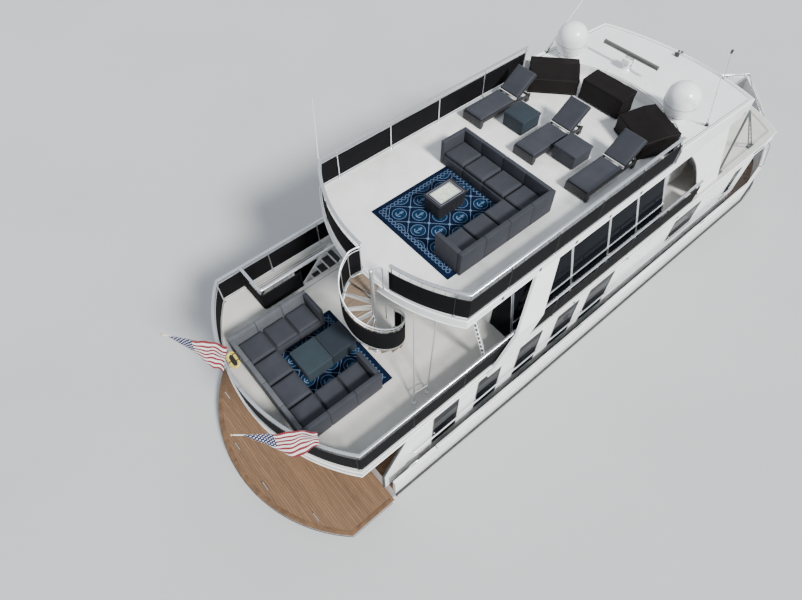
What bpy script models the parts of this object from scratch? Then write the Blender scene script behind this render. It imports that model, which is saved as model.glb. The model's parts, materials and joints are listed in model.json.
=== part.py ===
# Motor yacht with three decks, afloat.
# Metres. +X forward, +Y port, +Z up. Origin amidships on the centreline at the waterline.
import math

import bmesh
import bpy
from mathutils import Matrix, Vector

for old in list(bpy.data.objects):
    bpy.data.objects.remove(old, do_unlink=True)

PARTS = bpy.data.collections.new("motor_yacht")
TOOLS = bpy.data.collections.new("cutters")
bpy.context.scene.collection.children.link(PARTS)
bpy.context.scene.collection.children.link(TOOLS)

# Fits
SEAT = 0.0003            # gap between two faces that touch
RUNNING = 0.008          # gap round anything that moves

# Heights of the walking surfaces
MAIN_DECK = 1.25
HEADROOM = 2.14          # clear height between decks
SLAB = 0.28              # thickness of an upper deck at its edge
DECK_TWO = MAIN_DECK + HEADROOM + SLAB
TOP_DECK = DECK_TWO + HEADROOM + SLAB
MAIN_CEILING = DECK_TWO - SLAB
BRIDGE_CEILING = TOP_DECK - SLAB

# Hull
TRANSOM_X = -9.70
BOW_TIP_X = 12.60
QUARTER_X = -5.00        # where the sides start to close towards the transom
MIDSHIP_X = 2.00
SHOULDER_X = 7.00        # where the sides start to close towards the bow
HALF_BEAM = 3.44
STEM_HALF = 0.02         # half width of the stem's flat
BOW_POWER = 1.8
KEEL_Z = -1.32
SKEG_HALF = 0.07
SKEG_AFT_X = -6.2
SKEG_FORE_X = 6.0
BULWARK_THICK = 0.10
BULWARK_INSET = 0.01
BULWARK_HEIGHT = 0.68
BULWARK_BOW_RISE = 0.20
BOW_RAIL_TALL = 0.10
BOW_RAIL_RADIUS = 0.022
GATE_HINGE_X = -8.25
GATE_BARREL = 0.02       # radius of the gates' hinge barrels
RUB_RAIL_Z = 1.02
RUB_RAIL_TALL = 0.13
RUB_RAIL_PROUD = 0.07

# Swim platform
PLATFORM_TOP = 0.44
PLATFORM_THICK = 0.10
PLATFORM_CORNER_X = -11.15
PLATFORM_APEX_X = -12.60
PLATFORM_HALF = 3.36

# Running gear
PROP_X = -8.20
PROP_Y = 1.45
PROP_Z = -0.93
PROP_RADIUS = 0.36
PROP_HUB = 0.075
PROP_BLADES = 4
SHAFT_TILT = math.radians(6)
SHAFT_RADIUS = 0.035
SHAFT_LONG = 5.0
RUDDER_X = -9.05
RUDDER_CHORD = 0.62
RUDDER_DEPTH = 0.72
RUDDER_HALF = 0.03
RUDDER_STOCK = 0.035
RUDDER_TOP_Z = -0.54
STOCK_IN_HULL = 0.30
STOCK_CLEARANCE = 0.0015

# Engine room under the saloon sole
ENGINE_X = -3.60
ENGINE_LONG = 1.90
ENGINE_WIDE = 0.95
ENGINE_TALL = 1.05
ENGINE_Y = 1.15
ENGINE_BED = 0.12
WELL_LONG = 3.40
WELL_HALF = 1.95
WELL_FLOOR = -0.15
HATCH_THICK = 0.05

# Main deck house
HOUSE_HALF = 3.12        # outer face of the side walls
WALL = 0.08
WING_AFT_X = -9.80
WING_TOP_X = -9.06
WING_KNEE_Z = 2.05
HOUSE_FORE_X = 6.45
MAIN_BULKHEAD_X = -6.85
SILL_Z = 2.05
HEAD_Z = 3.22
# side windows of the main deck: aft edge and forward edge of each
SIDE_WINDOWS = [(-8.20, -7.36), (-6.66, -5.82), (-5.12, -4.25), (-3.60, -2.72), (-2.22, -1.12)]
FORE_WINDOW = (1.98, 3.38)
FORE_SILL_Z = 2.28
SLOT_WINDOW = (5.42, 5.80)
SLOT_SILL_Z = 1.92
DOOR_WIDE = 0.90
DOOR_LAP = 0.04          # how far a door reaches past its doorway
DOOR_FRAME = 0.10        # the door's own frame round its glass
MULLION = 0.06
DOOR_HEADER = 0.12       # height of bulkhead left over a doorway
BRIDGE_DOOR_HEADER = 0.19
DOOR_TALL = HEADROOM - DOOR_HEADER
BRIDGE_DOOR_TALL = HEADROOM - BRIDGE_DOOR_HEADER
DOOR_THICK = 0.045

# Deck two
TWO_HALF = 3.12
TWO_CORNER_X = -10.42
TWO_APEX_X = -11.54
TWO_FORE_X = 7.70
TWO_NOSE_X = 8.62
RAIL_HEIGHT = 0.90
RAIL_INSET = 0.07
RAIL_HALF = 0.045
RAIL_THICK = 0.04
MESH_HALF = 0.009
MESH_FOOT = 0.05
MESH_TOP = 0.70
POST_HALF = 0.02
POST_PITCH = 1.62
RAIL_FORE_X = 2.55

# Stairwell from deck two down to the cockpit, port side
WELL_AFT_X = -9.60
WELL_FORE_X = -6.95
WELL_IN_Y = 2.10
WELL_OUT_Y = 2.90
STEPS = 11
STRINGER = 0.05
TREAD_DEEP = 0.26

# Bridge deck house
BRIDGE_HALF = 2.15
BRIDGE_AFT_X = -5.40
WING_BASE_X = 2.98
WING_HEAD_X = 1.60
WINDSCREEN_BASE_X = 4.12
WINDSCREEN_HEAD_X = 3.75
BRIDGE_HALF_BASE = 3.00
BRIDGE_HALF_HEAD = 2.60

# Top deck and the pilothouse roof
TOP_HALF = 2.72
TOP_CORNER_X = -7.04
TOP_APEX_X = -7.93
TOP_RAIL_FORE_X = 0.50
ROOF_AFT_X = 0.60
ROOF_AFT_MID_X = 2.14
ROOF_FORE_X = 4.45
ROOF_NOSE_X = 4.95
ROOF_AFT_Z = 6.50
ROOF_NOSE_Z = 6.22
ROOF_SKIN = 0.07
STAIR_GAP = (-0.12, -0.98)

# Spiral stair
SPIRAL_X = -8.14
SPIRAL_Y = -0.84
SPIRAL_RADIUS = 0.72
SPIRAL_POLE = 0.045
SPIRAL_TREADS = 11
SPIRAL_START = math.radians(78)
SPIRAL_STEP = math.radians(25)
TREAD_THICK = 0.04

# Furniture
SOFA_DEEP = 0.86
SOFA_TALL = 0.71
SOFA_SEAT = 0.40
SOFA_BACK = 0.12
SUN_SOFA_FORE_X = -3.23
SUN_SOFA_LONG = 3.10
SUN_SOFA_PORT_Y = 1.38
SUN_SOFA_WIDE = 3.10
AFT_SOFA_AFT_X = -11.02
AFT_SOFA_LONG = 2.30
AFT_SOFA_PORT_Y = 1.46
AFT_SOFA_WIDE = 3.26
RUG_THICK = 0.012
TABLE_TALL = 0.45
TABLE_OVERHANG = 0.03
FIRE_TABLE = (0.92, 0.60)      # length and width
AFT_TABLE = (1.50, 0.81)
LOUNGER_Y = [("port", 1.98), ("middle", 0.05), ("starboard", -1.74)]
LOUNGER_FOOT_X = -2.36
LOUNGER_BED_LONG = 1.41
LOUNGER_BACK_LONG = 0.73
LOUNGER_HINGE_X = LOUNGER_FOOT_X + LOUNGER_BED_LONG
LOUNGER_HEAD_X = LOUNGER_HINGE_X + LOUNGER_BACK_LONG
LOUNGER_WIDE = 0.72
LOUNGER_BED_Z = 0.34
LOUNGER_HEAD_Z = 0.86
LOUNGER_THICK = 0.11
CUBE = 0.73
PORT_CUBE_GAP = 0.27     # between the middle lounger and the cube on each side of it
STARBOARD_CUBE_GAP = 0.08
# covered chairs: name, centre x, centre y, length, width, turn in degrees
COVERED = [("port", 0.72, 1.70, 0.90, 1.45, 43), ("middle", 1.19, 0.12, 0.70, 1.42, 0),
           ("starboard", 0.68, -1.60, 1.10, 1.35, -24)]
COVER_TALL = 0.66

FINISHES = {
    "gelcoat": ((0.84, 0.85, 0.84), 0.30, 0.0),
    "nonskid": ((0.78, 0.77, 0.73), 0.80, 0.0),
    "teak": ((0.42, 0.25, 0.12), 0.60, 0.0),
    "silver": ((0.72, 0.74, 0.76), 0.28, 0.9),
    "guard_mesh": ((0.03, 0.03, 0.035), 0.75, 0.0),
    "black_rubber": ((0.02, 0.02, 0.02), 0.80, 0.0),
    "bronze": ((0.55, 0.38, 0.18), 0.35, 1.0),
    "iron_grey": ((0.25, 0.27, 0.28), 0.55, 0.6),
    "wicker": ((0.07, 0.075, 0.085), 0.80, 0.0),
    "cover_brown": ((0.06, 0.045, 0.04), 0.85, 0.0),
    "rug_navy": ((0.03, 0.08, 0.18), 0.95, 0.0),
    "flag_cloth": ((0.60, 0.15, 0.17), 0.90, 0.0),
}


def finish(kind):
    material = bpy.data.materials.get(kind)
    if material:
        return material
    colour, roughness, metallic = FINISHES[kind]
    material = bpy.data.materials.new(kind)
    material.use_nodes = True
    shader = material.node_tree.nodes["Principled BSDF"]
    shader.inputs["Base Color"].default_value = (*colour, 1.0)
    shader.inputs["Roughness"].default_value = roughness
    shader.inputs["Metallic"].default_value = metallic
    return material


def keep(piece, name, kind):
    """Name a finished sub-part, give it its material and put it with the parts."""
    for home in list(piece.users_collection):
        home.objects.unlink(piece)
    PARTS.objects.link(piece)
    piece.name = name
    piece.data.name = name
    piece.data.materials.clear()
    piece.data.materials.append(finish(kind))
    return piece


def helper(piece):
    """Hide a solid that only cuts or joins another one."""
    for home in list(piece.users_collection):
        home.objects.unlink(piece)
    TOOLS.objects.link(piece)
    piece.hide_render = True
    piece.display_type = "WIRE"
    return piece


def combine(base, others, operation):
    for other in others:
        change = base.modifiers.new(operation.lower(), "BOOLEAN")
        change.operation = operation
        change.solver = "EXACT"
        change.object = helper(other)
        other.parent = base
    return base


def fuse(base, *others):
    return combine(base, others, "UNION")


def cut(base, *others):
    return combine(base, others, "DIFFERENCE")


def from_bmesh(shape, name="piece"):
    mesh = bpy.data.meshes.new(name)
    shape.to_mesh(mesh)
    shape.free()
    piece = bpy.data.objects.new(name, mesh)
    TOOLS.objects.link(piece)
    return piece


def box(low, high):
    shape = bmesh.new()
    bmesh.ops.create_cube(shape, size=1.0)
    low, high = Vector(low), Vector(high)
    bmesh.ops.scale(shape, vec=high - low, verts=shape.verts)
    bmesh.ops.translate(shape, vec=(high + low) / 2, verts=shape.verts)
    return from_bmesh(shape)


def rod(start, end, radius, end_radius=None, sides=10):
    """A round bar, or a cone, between two points."""
    start, end = Vector(start), Vector(end)
    along = end - start
    shape = bmesh.new()
    far = radius if end_radius is None else end_radius
    bmesh.ops.create_cone(shape, cap_ends=True, segments=sides, radius1=radius, radius2=far,
                          depth=along.length)
    turn = along.to_track_quat("Z", "Y").to_matrix().to_4x4()
    bmesh.ops.transform(shape, matrix=Matrix.Translation((start + end) / 2) @ turn, verts=shape.verts)
    return from_bmesh(shape)


def curve_mesh(curve):
    """Turn a curve into a mesh whose caps are welded."""
    guide = bpy.data.objects.new("guide", curve)
    TOOLS.objects.link(guide)
    bpy.context.view_layer.update()
    ready = guide.evaluated_get(bpy.context.evaluated_depsgraph_get())
    mesh = bpy.data.meshes.new_from_object(ready)
    bpy.data.objects.remove(guide, do_unlink=True)
    shape = bmesh.new()
    shape.from_mesh(mesh)
    bmesh.ops.remove_doubles(shape, verts=shape.verts, dist=0.00005)
    return shape


def tube(points, radius):
    """A round bar along a line of points."""
    curve = bpy.data.curves.new("tube", "CURVE")
    curve.dimensions = "3D"
    curve.bevel_depth = radius
    curve.bevel_resolution = 2
    curve.use_fill_caps = True
    spline = curve.splines.new("POLY")
    spline.points.add(len(points) - 1)
    for point, place in zip(spline.points, points):
        point.co = (*place, 1.0)
    return from_bmesh(curve_mesh(curve))


def plate(outlines, low, high, across="Z"):
    """A flat plate: the first outline is its edge, the others are holes.
    across Z takes (x, y) points, across Y takes (x, z), across X takes (y, z)."""
    curve = bpy.data.curves.new("plate", "CURVE")
    curve.dimensions = "2D"
    curve.fill_mode = "BOTH"
    curve.extrude = (high - low) / 2
    for outline in outlines:
        spline = curve.splines.new("POLY")
        spline.points.add(len(outline) - 1)
        for point, (u, v) in zip(spline.points, outline):
            point.co = (u, v, 0.0, 1.0)
        spline.use_cyclic_u = True
    shape = curve_mesh(curve)
    middle = (high + low) / 2
    frames = {"Z": Matrix.Translation((0, 0, middle)),
              "Y": Matrix.Translation((0, middle, 0)) @ Matrix.Rotation(math.pi / 2, 4, "X"),
              "X": Matrix.Translation((middle, 0, 0)) @ Matrix(((0, 0, 1, 0), (1, 0, 0, 0),
                                                                (0, 1, 0, 0), (0, 0, 0, 1)))}
    bmesh.ops.transform(shape, matrix=frames[across], verts=shape.verts)
    return from_bmesh(shape)


def loft(rings):
    """A closed skin over rings with equal numbers of points."""
    shape = bmesh.new()
    rows = [[shape.verts.new(point) for point in ring] for ring in rings]
    count = len(rows[0])
    for near, far in zip(rows, rows[1:]):
        for i in range(count):
            j = (i + 1) % count
            shape.faces.new((near[i], near[j], far[j], far[i]))
    shape.faces.new(list(reversed(rows[0])))
    shape.faces.new(rows[-1])
    bmesh.ops.recalc_face_normals(shape, faces=shape.faces)
    bmesh.ops.triangulate(shape, faces=shape.faces)
    return from_bmesh(shape)


def reshape(piece, move):
    for vertex in piece.data.vertices:
        vertex.co = move(vertex.co.copy())
    return piece


def mirrored(outline):
    """The same outline on the other side of the centreline."""
    return [(x, -y) for x, y in reversed(outline)]


def arc(corner_x, half, apex_x, pieces, start=1.0, end=-1.0):
    """Points of the arc through (corner_x, +-half) and (apex_x, 0), from start*half to end*half."""
    sag = abs(apex_x - corner_x)
    radius = (half * half + sag * sag) / (2 * sag)
    sense = 1 if apex_x > corner_x else -1
    centre = apex_x - sense * radius
    first = math.asin(start * half / radius)
    last = math.asin(end * half / radius)
    points = []
    for i in range(pieces + 1):
        angle = first + (last - first) * i / pieces
        points.append((centre + sense * radius * math.cos(angle), radius * math.sin(angle)))
    return points


def offset(path, distance):
    """The path moved sideways by distance, to the left of its direction, with mitred corners."""
    moved = []
    for i, here in enumerate(path):
        here = Vector(here)
        before = (here - Vector(path[i - 1])).normalized() if i else None
        after = (Vector(path[i + 1]) - here).normalized() if i < len(path) - 1 else None
        before = before or after
        after = after or before
        left_a = Vector((-before.y, before.x))
        left_b = Vector((-after.y, after.x))
        bisector = (left_a + left_b).normalized()
        moved.append(tuple(here + bisector * distance / max(bisector.dot(left_a), 0.35)))
    return moved


def band(path, half, low, high):
    """A strip of constant width that follows a path in plan."""
    return plate([offset(path, half) + list(reversed(offset(path, -half)))], low, high)


def stations(path, pitch):
    """Places along a path, evenly spaced, close to the given pitch."""
    legs = [(Vector(b) - Vector(a)).length for a, b in zip(path, path[1:])]
    total = sum(legs)
    count = max(2, round(total / pitch))
    places = []
    for k in range(count + 1):
        left = total * (k + 0.02 * (k == 0) - 0.02 * (k == count)) / count
        for (a, b), leg in zip(zip(path, path[1:]), legs):
            if left <= leg:
                places.append(tuple(Vector(a) + (Vector(b) - Vector(a)) * left / leg))
                break
            left -= leg
    return places


def guard(paths, floor):
    """A guard rail: black mesh, a capping rail and the stanchions that carry them."""
    top = floor + RAIL_HEIGHT
    pieces = []
    for path in paths:
        pieces.append(band(path, RAIL_HALF, top - RAIL_THICK, top))
        pieces.append(band(path, MESH_HALF, floor + MESH_FOOT, floor + MESH_TOP))
        for x, y in stations(path, POST_PITCH):
            low = (x - POST_HALF, y - POST_HALF, floor + SEAT)
            pieces.append(box(low, (x + POST_HALF, y + POST_HALF, top - RAIL_THICK / 2)))
    return fuse(*pieces)


def half_beam(x):
    """Half of the hull's width at deck level."""
    if x <= SHOULDER_X:
        return HALF_BEAM - 0.05 * max(0.0, (QUARTER_X - x) / 5.0)
    share = (x - SHOULDER_X) / (BOW_TIP_X - SHOULDER_X)
    return STEM_HALF + (HALF_BEAM - STEM_HALF) * (1 - share ** BOW_POWER)


def edge_line(start_x, outward):
    """The deck's edge moved outward, from the port side at start_x round the bow to starboard."""
    bends = [row[0] for row in HULL_STATIONS if row[0] > start_x and row[0] != MIDSHIP_X]
    port = [(x, half_beam(x)) for x in [start_x] + bends]
    moved = offset(port, outward)
    (near_x, near_y), (far_x, far_y) = moved[-2:]
    if far_y > 0:
        return moved + mirrored(moved)
    moved[-1] = (near_x + (far_x - near_x) * near_y / (near_y - far_y), 0.0)
    return moved + mirrored(moved[:-1])


def edge_strip(start_x, inner, outer, low, high):
    """A strip round the hull between two distances outward from the deck's edge."""
    return plate([edge_line(start_x, outer) + list(reversed(edge_line(start_x, inner)))], low, high)


# Hull: a solid decked body, lofted over stations from the transom to the stem.
# columns: x, keel z, chine half width, chine z, topside half width, topside z
HULL_STATIONS = [
    (TRANSOM_X, -0.52, 2.95, -0.12, 3.26, 0.45),
    (QUARTER_X, -0.74, 3.02, -0.20, 3.32, 0.40),
    (MIDSHIP_X, -0.85, 2.90, -0.22, 3.28, 0.45),
    (SHOULDER_X, -0.85, 2.10, -0.02, 2.78, 0.58),
    (8.1, -0.80, 1.60, 0.10, 2.38, 0.65),
    (9.1, -0.70, 1.15, 0.20, 1.90, 0.72),
    (10.1, -0.52, 0.70, 0.32, 1.36, 0.78),
    (11.0, -0.22, 0.34, 0.44, 0.84, 0.84),
    (11.8, 0.20, 0.11, 0.58, 0.38, 0.90),
    (12.3, 0.55, 0.03, 0.74, 0.09, 0.93),
    (BOW_TIP_X, 0.80, STEM_HALF - 0.008, 0.86, STEM_HALF - 0.004, 0.94),
]
KNUCKLE_Z = 0.96         # the topsides are upright from here to the deck's edge


def hull_ring(x, keel, chine_y, chine_z, side_y, side_z):
    half = [(chine_y, chine_z), (side_y, side_z), (half_beam(x), KNUCKLE_Z), (half_beam(x), MAIN_DECK)]
    ring = [(x, y, z) for y, z in half] + [(x, -y, z) for y, z in reversed(half)]
    return ring + [(x, 0.0, keel)]


hull = loft([hull_ring(*row) for row in HULL_STATIONS])
skeg = plate([[(SKEG_AFT_X, KEEL_Z), (SKEG_FORE_X - 1.2, KEEL_Z), (SKEG_FORE_X, -0.6),
               (SKEG_AFT_X - 0.35, -0.4)]], -SKEG_HALF, SKEG_HALF, "Y")
well = box((ENGINE_X - WELL_LONG / 2, -WELL_HALF, WELL_FLOOR),
           (ENGINE_X + WELL_LONG / 2, WELL_HALF, MAIN_DECK + 0.5))
fuse(hull, skeg)
for side in (1, -1):
    axis = Vector((math.cos(SHAFT_TILT), 0.0, math.sin(SHAFT_TILT)))
    hub = Vector((PROP_X, side * PROP_Y, PROP_Z))
    near = hub + axis * (PROP_HUB * 2 + SEAT)
    shaft = rod(near, hub + axis * SHAFT_LONG, SHAFT_RADIUS)
    bearing = rod(near + axis * 0.03, near + axis * 0.26, SHAFT_RADIUS * 2.2)
    strut_x = near.x + 0.14
    strut = box((strut_x - 0.07, hub.y - 0.022, near.z), (strut_x + 0.07, hub.y + 0.022, -0.30))
    fuse(hull, shaft, bearing, strut)
cut(hull, well)
keep(hull, "hull", "gelcoat")

# Engines: one plain block for each, on a common bed
bed_long = ENGINE_LONG + 0.3
bed = box((ENGINE_X - bed_long / 2, -ENGINE_Y - ENGINE_WIDE / 2, WELL_FLOOR + SEAT),
          (ENGINE_X + bed_long / 2, ENGINE_Y + ENGINE_WIDE / 2, WELL_FLOOR + ENGINE_BED))
for side in (1, -1):
    fuse(bed, box((ENGINE_X - ENGINE_LONG / 2, side * ENGINE_Y - ENGINE_WIDE / 2 + 0.02,
                   WELL_FLOOR + ENGINE_BED / 2),
                  (ENGINE_X + ENGINE_LONG / 2, side * ENGINE_Y + ENGINE_WIDE / 2 - 0.02,
                   WELL_FLOOR + ENGINE_BED + ENGINE_TALL)))
keep(bed, "engines_on_bed", "iron_grey")

# Sole hatch: closes the engine well, on a ledge flush with the main deck
ledge = 0.06
hatch_half = WELL_HALF + ledge
hatch_long = WELL_LONG + 2 * ledge
cut(hull, box((ENGINE_X - hatch_long / 2, -hatch_half, MAIN_DECK - HATCH_THICK),
              (ENGINE_X + hatch_long / 2, hatch_half, MAIN_DECK + 0.5)))
keep(box((ENGINE_X - hatch_long / 2 + SEAT, -hatch_half + SEAT, MAIN_DECK - HATCH_THICK + SEAT),
         (ENGINE_X + hatch_long / 2 - SEAT, hatch_half - SEAT, MAIN_DECK - SEAT)),
     "saloon_sole_hatch", "nonskid")

# Propellers: four blades on a hub, each turning on its tilted shaft
for side, label in ((1, "port"), (-1, "starboard")):
    hub = rod((-PROP_HUB * 2, 0, 0), (PROP_HUB * 2, 0, 0), PROP_HUB, PROP_HUB * 0.8, 14)
    for k in range(PROP_BLADES):
        turn = Matrix.Rotation(2 * math.pi * k / PROP_BLADES, 4, "X")
        rings = []
        # columns: share of the radius, half chord, pitch angle in degrees
        for share, chord, pitch in ((0.12, 0.06, 62), (0.45, 0.125, 42), (0.8, 0.12, 28), (1.0, 0.05, 24)):
            angle = math.radians(pitch) * side
            ring = []
            for u, v in ((-1, 0), (0, 1), (1, 0), (0, -1)):
                along = Vector((u * chord, v * 0.011))
                ring.append(turn @ Vector((along.x * math.sin(angle) + along.y * math.cos(angle),
                                           along.x * math.cos(angle) - along.y * math.sin(angle),
                                           share * PROP_RADIUS)))
            rings.append(ring)
        fuse(hub, loft(rings))
    keep(hub, "propeller_" + label, "bronze")
    hub.rotation_euler = (0, -SHAFT_TILT, 0)
    hub.location = (PROP_X, side * PROP_Y, PROP_Z)

# Rudders: a spade blade on a stock that turns in the hull
for side, label in ((1, "port"), (-1, "starboard")):
    blade = plate([[(RUDDER_CHORD * 0.25, -RUDDER_HALF * 0.5), (RUDDER_CHORD * 0.25, RUDDER_HALF * 0.5),
                    (0, RUDDER_HALF), (-RUDDER_CHORD * 0.75, 0.006),
                    (-RUDDER_CHORD * 0.75, -0.006), (0, -RUDDER_HALF)]], -RUDDER_DEPTH, 0)
    stock = rod((0, 0, -RUDDER_DEPTH * 0.6), (0, 0, STOCK_IN_HULL), RUDDER_STOCK)
    fuse(blade, stock)
    keep(blade, "rudder_" + label, "bronze")
    blade.location = (RUDDER_X, side * PROP_Y, RUDDER_TOP_Z)
    cut(hull, rod((RUDDER_X, side * PROP_Y, RUDDER_TOP_Z - 0.4),
                  (RUDDER_X, side * PROP_Y, RUDDER_TOP_Z + STOCK_IN_HULL + SEAT),
                  RUDDER_STOCK + STOCK_CLEARANCE, None, 16))

# Rub rail: a black band round the hull, below the deck edge
keep(edge_strip(TRANSOM_X, SEAT, RUB_RAIL_PROUD, RUB_RAIL_Z, RUB_RAIL_Z + RUB_RAIL_TALL),
     "rub_rail", "black_rubber")

# Bulwark: one wall from gate to gate round the bow, its top rising towards the stem, with a
# stainless rail on posts over the foredeck
bulwark_top = MAIN_DECK + BULWARK_HEIGHT
bulwark = edge_strip(GATE_HINGE_X + 0.03, -BULWARK_INSET - BULWARK_THICK, -BULWARK_INSET,
                     MAIN_DECK + SEAT, bulwark_top)


def bow_rise(point):
    if point.z > bulwark_top - 0.01 and point.x > SHOULDER_X - 0.5:
        share = (point.x - SHOULDER_X) / (BOW_TIP_X - SHOULDER_X)
        point.z += BULWARK_BOW_RISE * max(0.0, share) ** 1.2
    return point


reshape(bulwark, bow_rise)

# Bow rail: a stainless tube on posts let into the bulwark round the foredeck
BOW_RAIL_X = [8.1, 9.1, 10.1, 11.0, 11.8]


def bulwark_z(x):
    share = max(0.0, (x - SHOULDER_X) / (BOW_TIP_X - SHOULDER_X))
    return bulwark_top + BULWARK_BOW_RISE * share ** 1.2


rail_line = [(x, half_beam(x) - 0.09) for x in BOW_RAIL_X] + [(BOW_TIP_X - 0.07, 0.0)]
rail_line += [(x, -y) for x, y in reversed(rail_line[:-1])]
rail_points = [Vector((x, y, bulwark_z(x) + BOW_RAIL_TALL)) for x, y in rail_line]
fuse(bulwark, tube(rail_points, BOW_RAIL_RADIUS))
for point in rail_points[1:-1]:
    low = bulwark_z(point.x) - 0.10
    fuse(bulwark, rod((point.x, point.y, low), point, BOW_RAIL_RADIUS * 0.8, None, 8))
keep(bulwark, "bulwark", "gelcoat")

# Boarding gates: the last length of bulwark on each side, hinged at its forward edge
for side, label in ((1, "port"), (-1, "starboard")):
    outer_face = half_beam(GATE_HINGE_X) - BULWARK_INSET
    length = GATE_HINGE_X - TRANSOM_X
    across = sorted((0, -side * BULWARK_THICK))
    gate = box((-length + 0.01, across[0], MAIN_DECK + RUNNING), (0, across[1], bulwark_top))
    fuse(gate, rod((0, 0, MAIN_DECK + SEAT), (0, 0, bulwark_top - 0.02), GATE_BARREL))
    keep(gate, "boarding_gate_" + label, "gelcoat")
    gate.location = (GATE_HINGE_X, side * outer_face, 0)

# Swim platform: a teak-topped slab on three knees under it
platform_edge = arc(PLATFORM_CORNER_X, PLATFORM_HALF, PLATFORM_APEX_X, 18)
front_x = TRANSOM_X - SEAT
platform = plate([[(front_x, PLATFORM_HALF)] + platform_edge + [(front_x, -PLATFORM_HALF)]],
                 PLATFORM_TOP - PLATFORM_THICK, PLATFORM_TOP)
for y in (-2.2, 0.0, 2.2):
    low_z = PLATFORM_TOP - 0.45
    fuse(platform, plate([[(front_x, low_z), (front_x, PLATFORM_TOP - 0.02),
                           (PLATFORM_CORNER_X, PLATFORM_TOP - 0.02),
                           (PLATFORM_CORNER_X, PLATFORM_TOP - PLATFORM_THICK - 0.03)]],
                         y - 0.03, y + 0.03, "Y"))
keep(platform, "swim_platform", "teak")

# Main deck house side walls: from the raked wing aft to the free edge forward
floor_z = MAIN_DECK + SEAT
ceiling_z = MAIN_CEILING - SEAT
for side, label in ((1, "port"), (-1, "starboard")):
    edge = [(WING_AFT_X, floor_z), (HOUSE_FORE_X, floor_z), (HOUSE_FORE_X, ceiling_z),
            (WING_TOP_X, ceiling_z), (WING_AFT_X, WING_KNEE_Z)]
    panes = [(a, b, SILL_Z) for a, b in SIDE_WINDOWS]
    panes += [(*FORE_WINDOW, FORE_SILL_Z), (*SLOT_WINDOW, SLOT_SILL_Z)]
    holes = [[(a, sill), (b, sill), (b, HEAD_Z), (a, HEAD_Z)] for a, b, sill in panes]
    inner, outer = sorted((side * HOUSE_HALF, side * (HOUSE_HALF - WALL)))
    keep(plate([edge] + holes, inner, outer, "Y"), "main_wall_" + label, "gelcoat")

# Bulkheads: flat walls across the boat, with window holes
inside = HOUSE_HALF - WALL - SEAT


def bulkhead(name, x, half, low, high, holes):
    edge = [(-half, low), (half, low), (half, high), (-half, high)]
    return keep(plate([edge] + holes, x, x + WALL, "X"), name, "gelcoat")


def window(y_low, y_high, z_low, z_high):
    return [(y_low, z_low), (y_high, z_low), (y_high, z_high), (y_low, z_high)]


def doorway(floor, tall):
    """A doorway to starboard of the centreline and a fixed pane of the same size to port."""
    return [window(-DOOR_WIDE, 0, floor + 0.03, floor + tall),
            window(MULLION, MULLION + DOOR_WIDE, floor + 0.10, floor + tall)]


bulkhead("main_aft_bulkhead", MAIN_BULKHEAD_X, inside, floor_z, ceiling_z,
         doorway(MAIN_DECK, DOOR_TALL) + [window(-2.60, -1.15, SILL_Z, MAIN_DECK + DOOR_TALL)])
bulkhead("main_front_wall", HOUSE_FORE_X - 0.45, inside, floor_z, ceiling_z,
         [window(y - 0.6, y + 0.6, SILL_Z, HEAD_Z - 0.1) for y in (-1.9, -0.35, 1.2)])

# Sliding doors: each runs on two shoes and slides along the bulkhead to port
DOOR_GAP = 0.006


def sliding_door(name, x, floor, tall):
    after, fore = x - DOOR_GAP - DOOR_THICK, x - DOOR_GAP
    low, high = -DOOR_WIDE - DOOR_LAP, DOOR_LAP
    door = box((after, low, floor + DOOR_GAP), (fore, high, floor + tall + DOOR_LAP))
    cut(door, box((after - 0.1, low + DOOR_FRAME, floor + DOOR_FRAME + 0.08),
                  (fore + 0.1, high - DOOR_FRAME, floor + tall + DOOR_LAP - DOOR_FRAME)))
    for y in (low + 0.01, high - 0.06):
        fuse(door, box((after + 0.01, y, floor + SEAT), (fore - 0.01, y + 0.05, floor + 0.03)))
    return keep(door, name, "silver")


sliding_door("saloon_door", MAIN_BULKHEAD_X, MAIN_DECK, DOOR_TALL)

# Deck two: one slab with an arc aft, a blunt nose forward and the stairwell cut through
two_aft = arc(TWO_CORNER_X, TWO_HALF, TWO_APEX_X, 16)
two_nose = arc(TWO_FORE_X, TWO_HALF - 0.06, TWO_NOSE_X, 8, -1.0, 1.0)
stairwell = [(WELL_AFT_X, WELL_IN_Y), (WELL_FORE_X, WELL_IN_Y),
             (WELL_FORE_X, WELL_OUT_Y), (WELL_AFT_X, WELL_OUT_Y)]
keep(plate([two_aft + two_nose, stairwell], MAIN_CEILING, DECK_TWO), "deck_two", "gelcoat")

# Guard rails of deck two, a half on each side, meeting aft; the port one also closes the stairwell
rail_half = TWO_HALF - RAIL_INSET
rail_aft = arc(TWO_CORNER_X + RAIL_INSET, rail_half, TWO_APEX_X + RAIL_INSET, 8, 1.0, 0.0)
rail_aft[-1] = (rail_aft[-1][0], RUNNING)
port_rail = [(RAIL_FORE_X, rail_half)] + rail_aft
keep(guard([mirrored(port_rail)], DECK_TWO), "deck_two_rail_starboard", "guard_mesh")
well_rail = [(WELL_AFT_X - 0.06, rail_half - 0.004), (WELL_AFT_X - 0.06, WELL_IN_Y + 0.10),
             (WELL_AFT_X + 0.10, WELL_IN_Y - 0.06), (WELL_FORE_X - 0.10, WELL_IN_Y - 0.06)]
keep(guard([port_rail, well_rail], DECK_TWO), "deck_two_rail_port", "guard_mesh")

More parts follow.
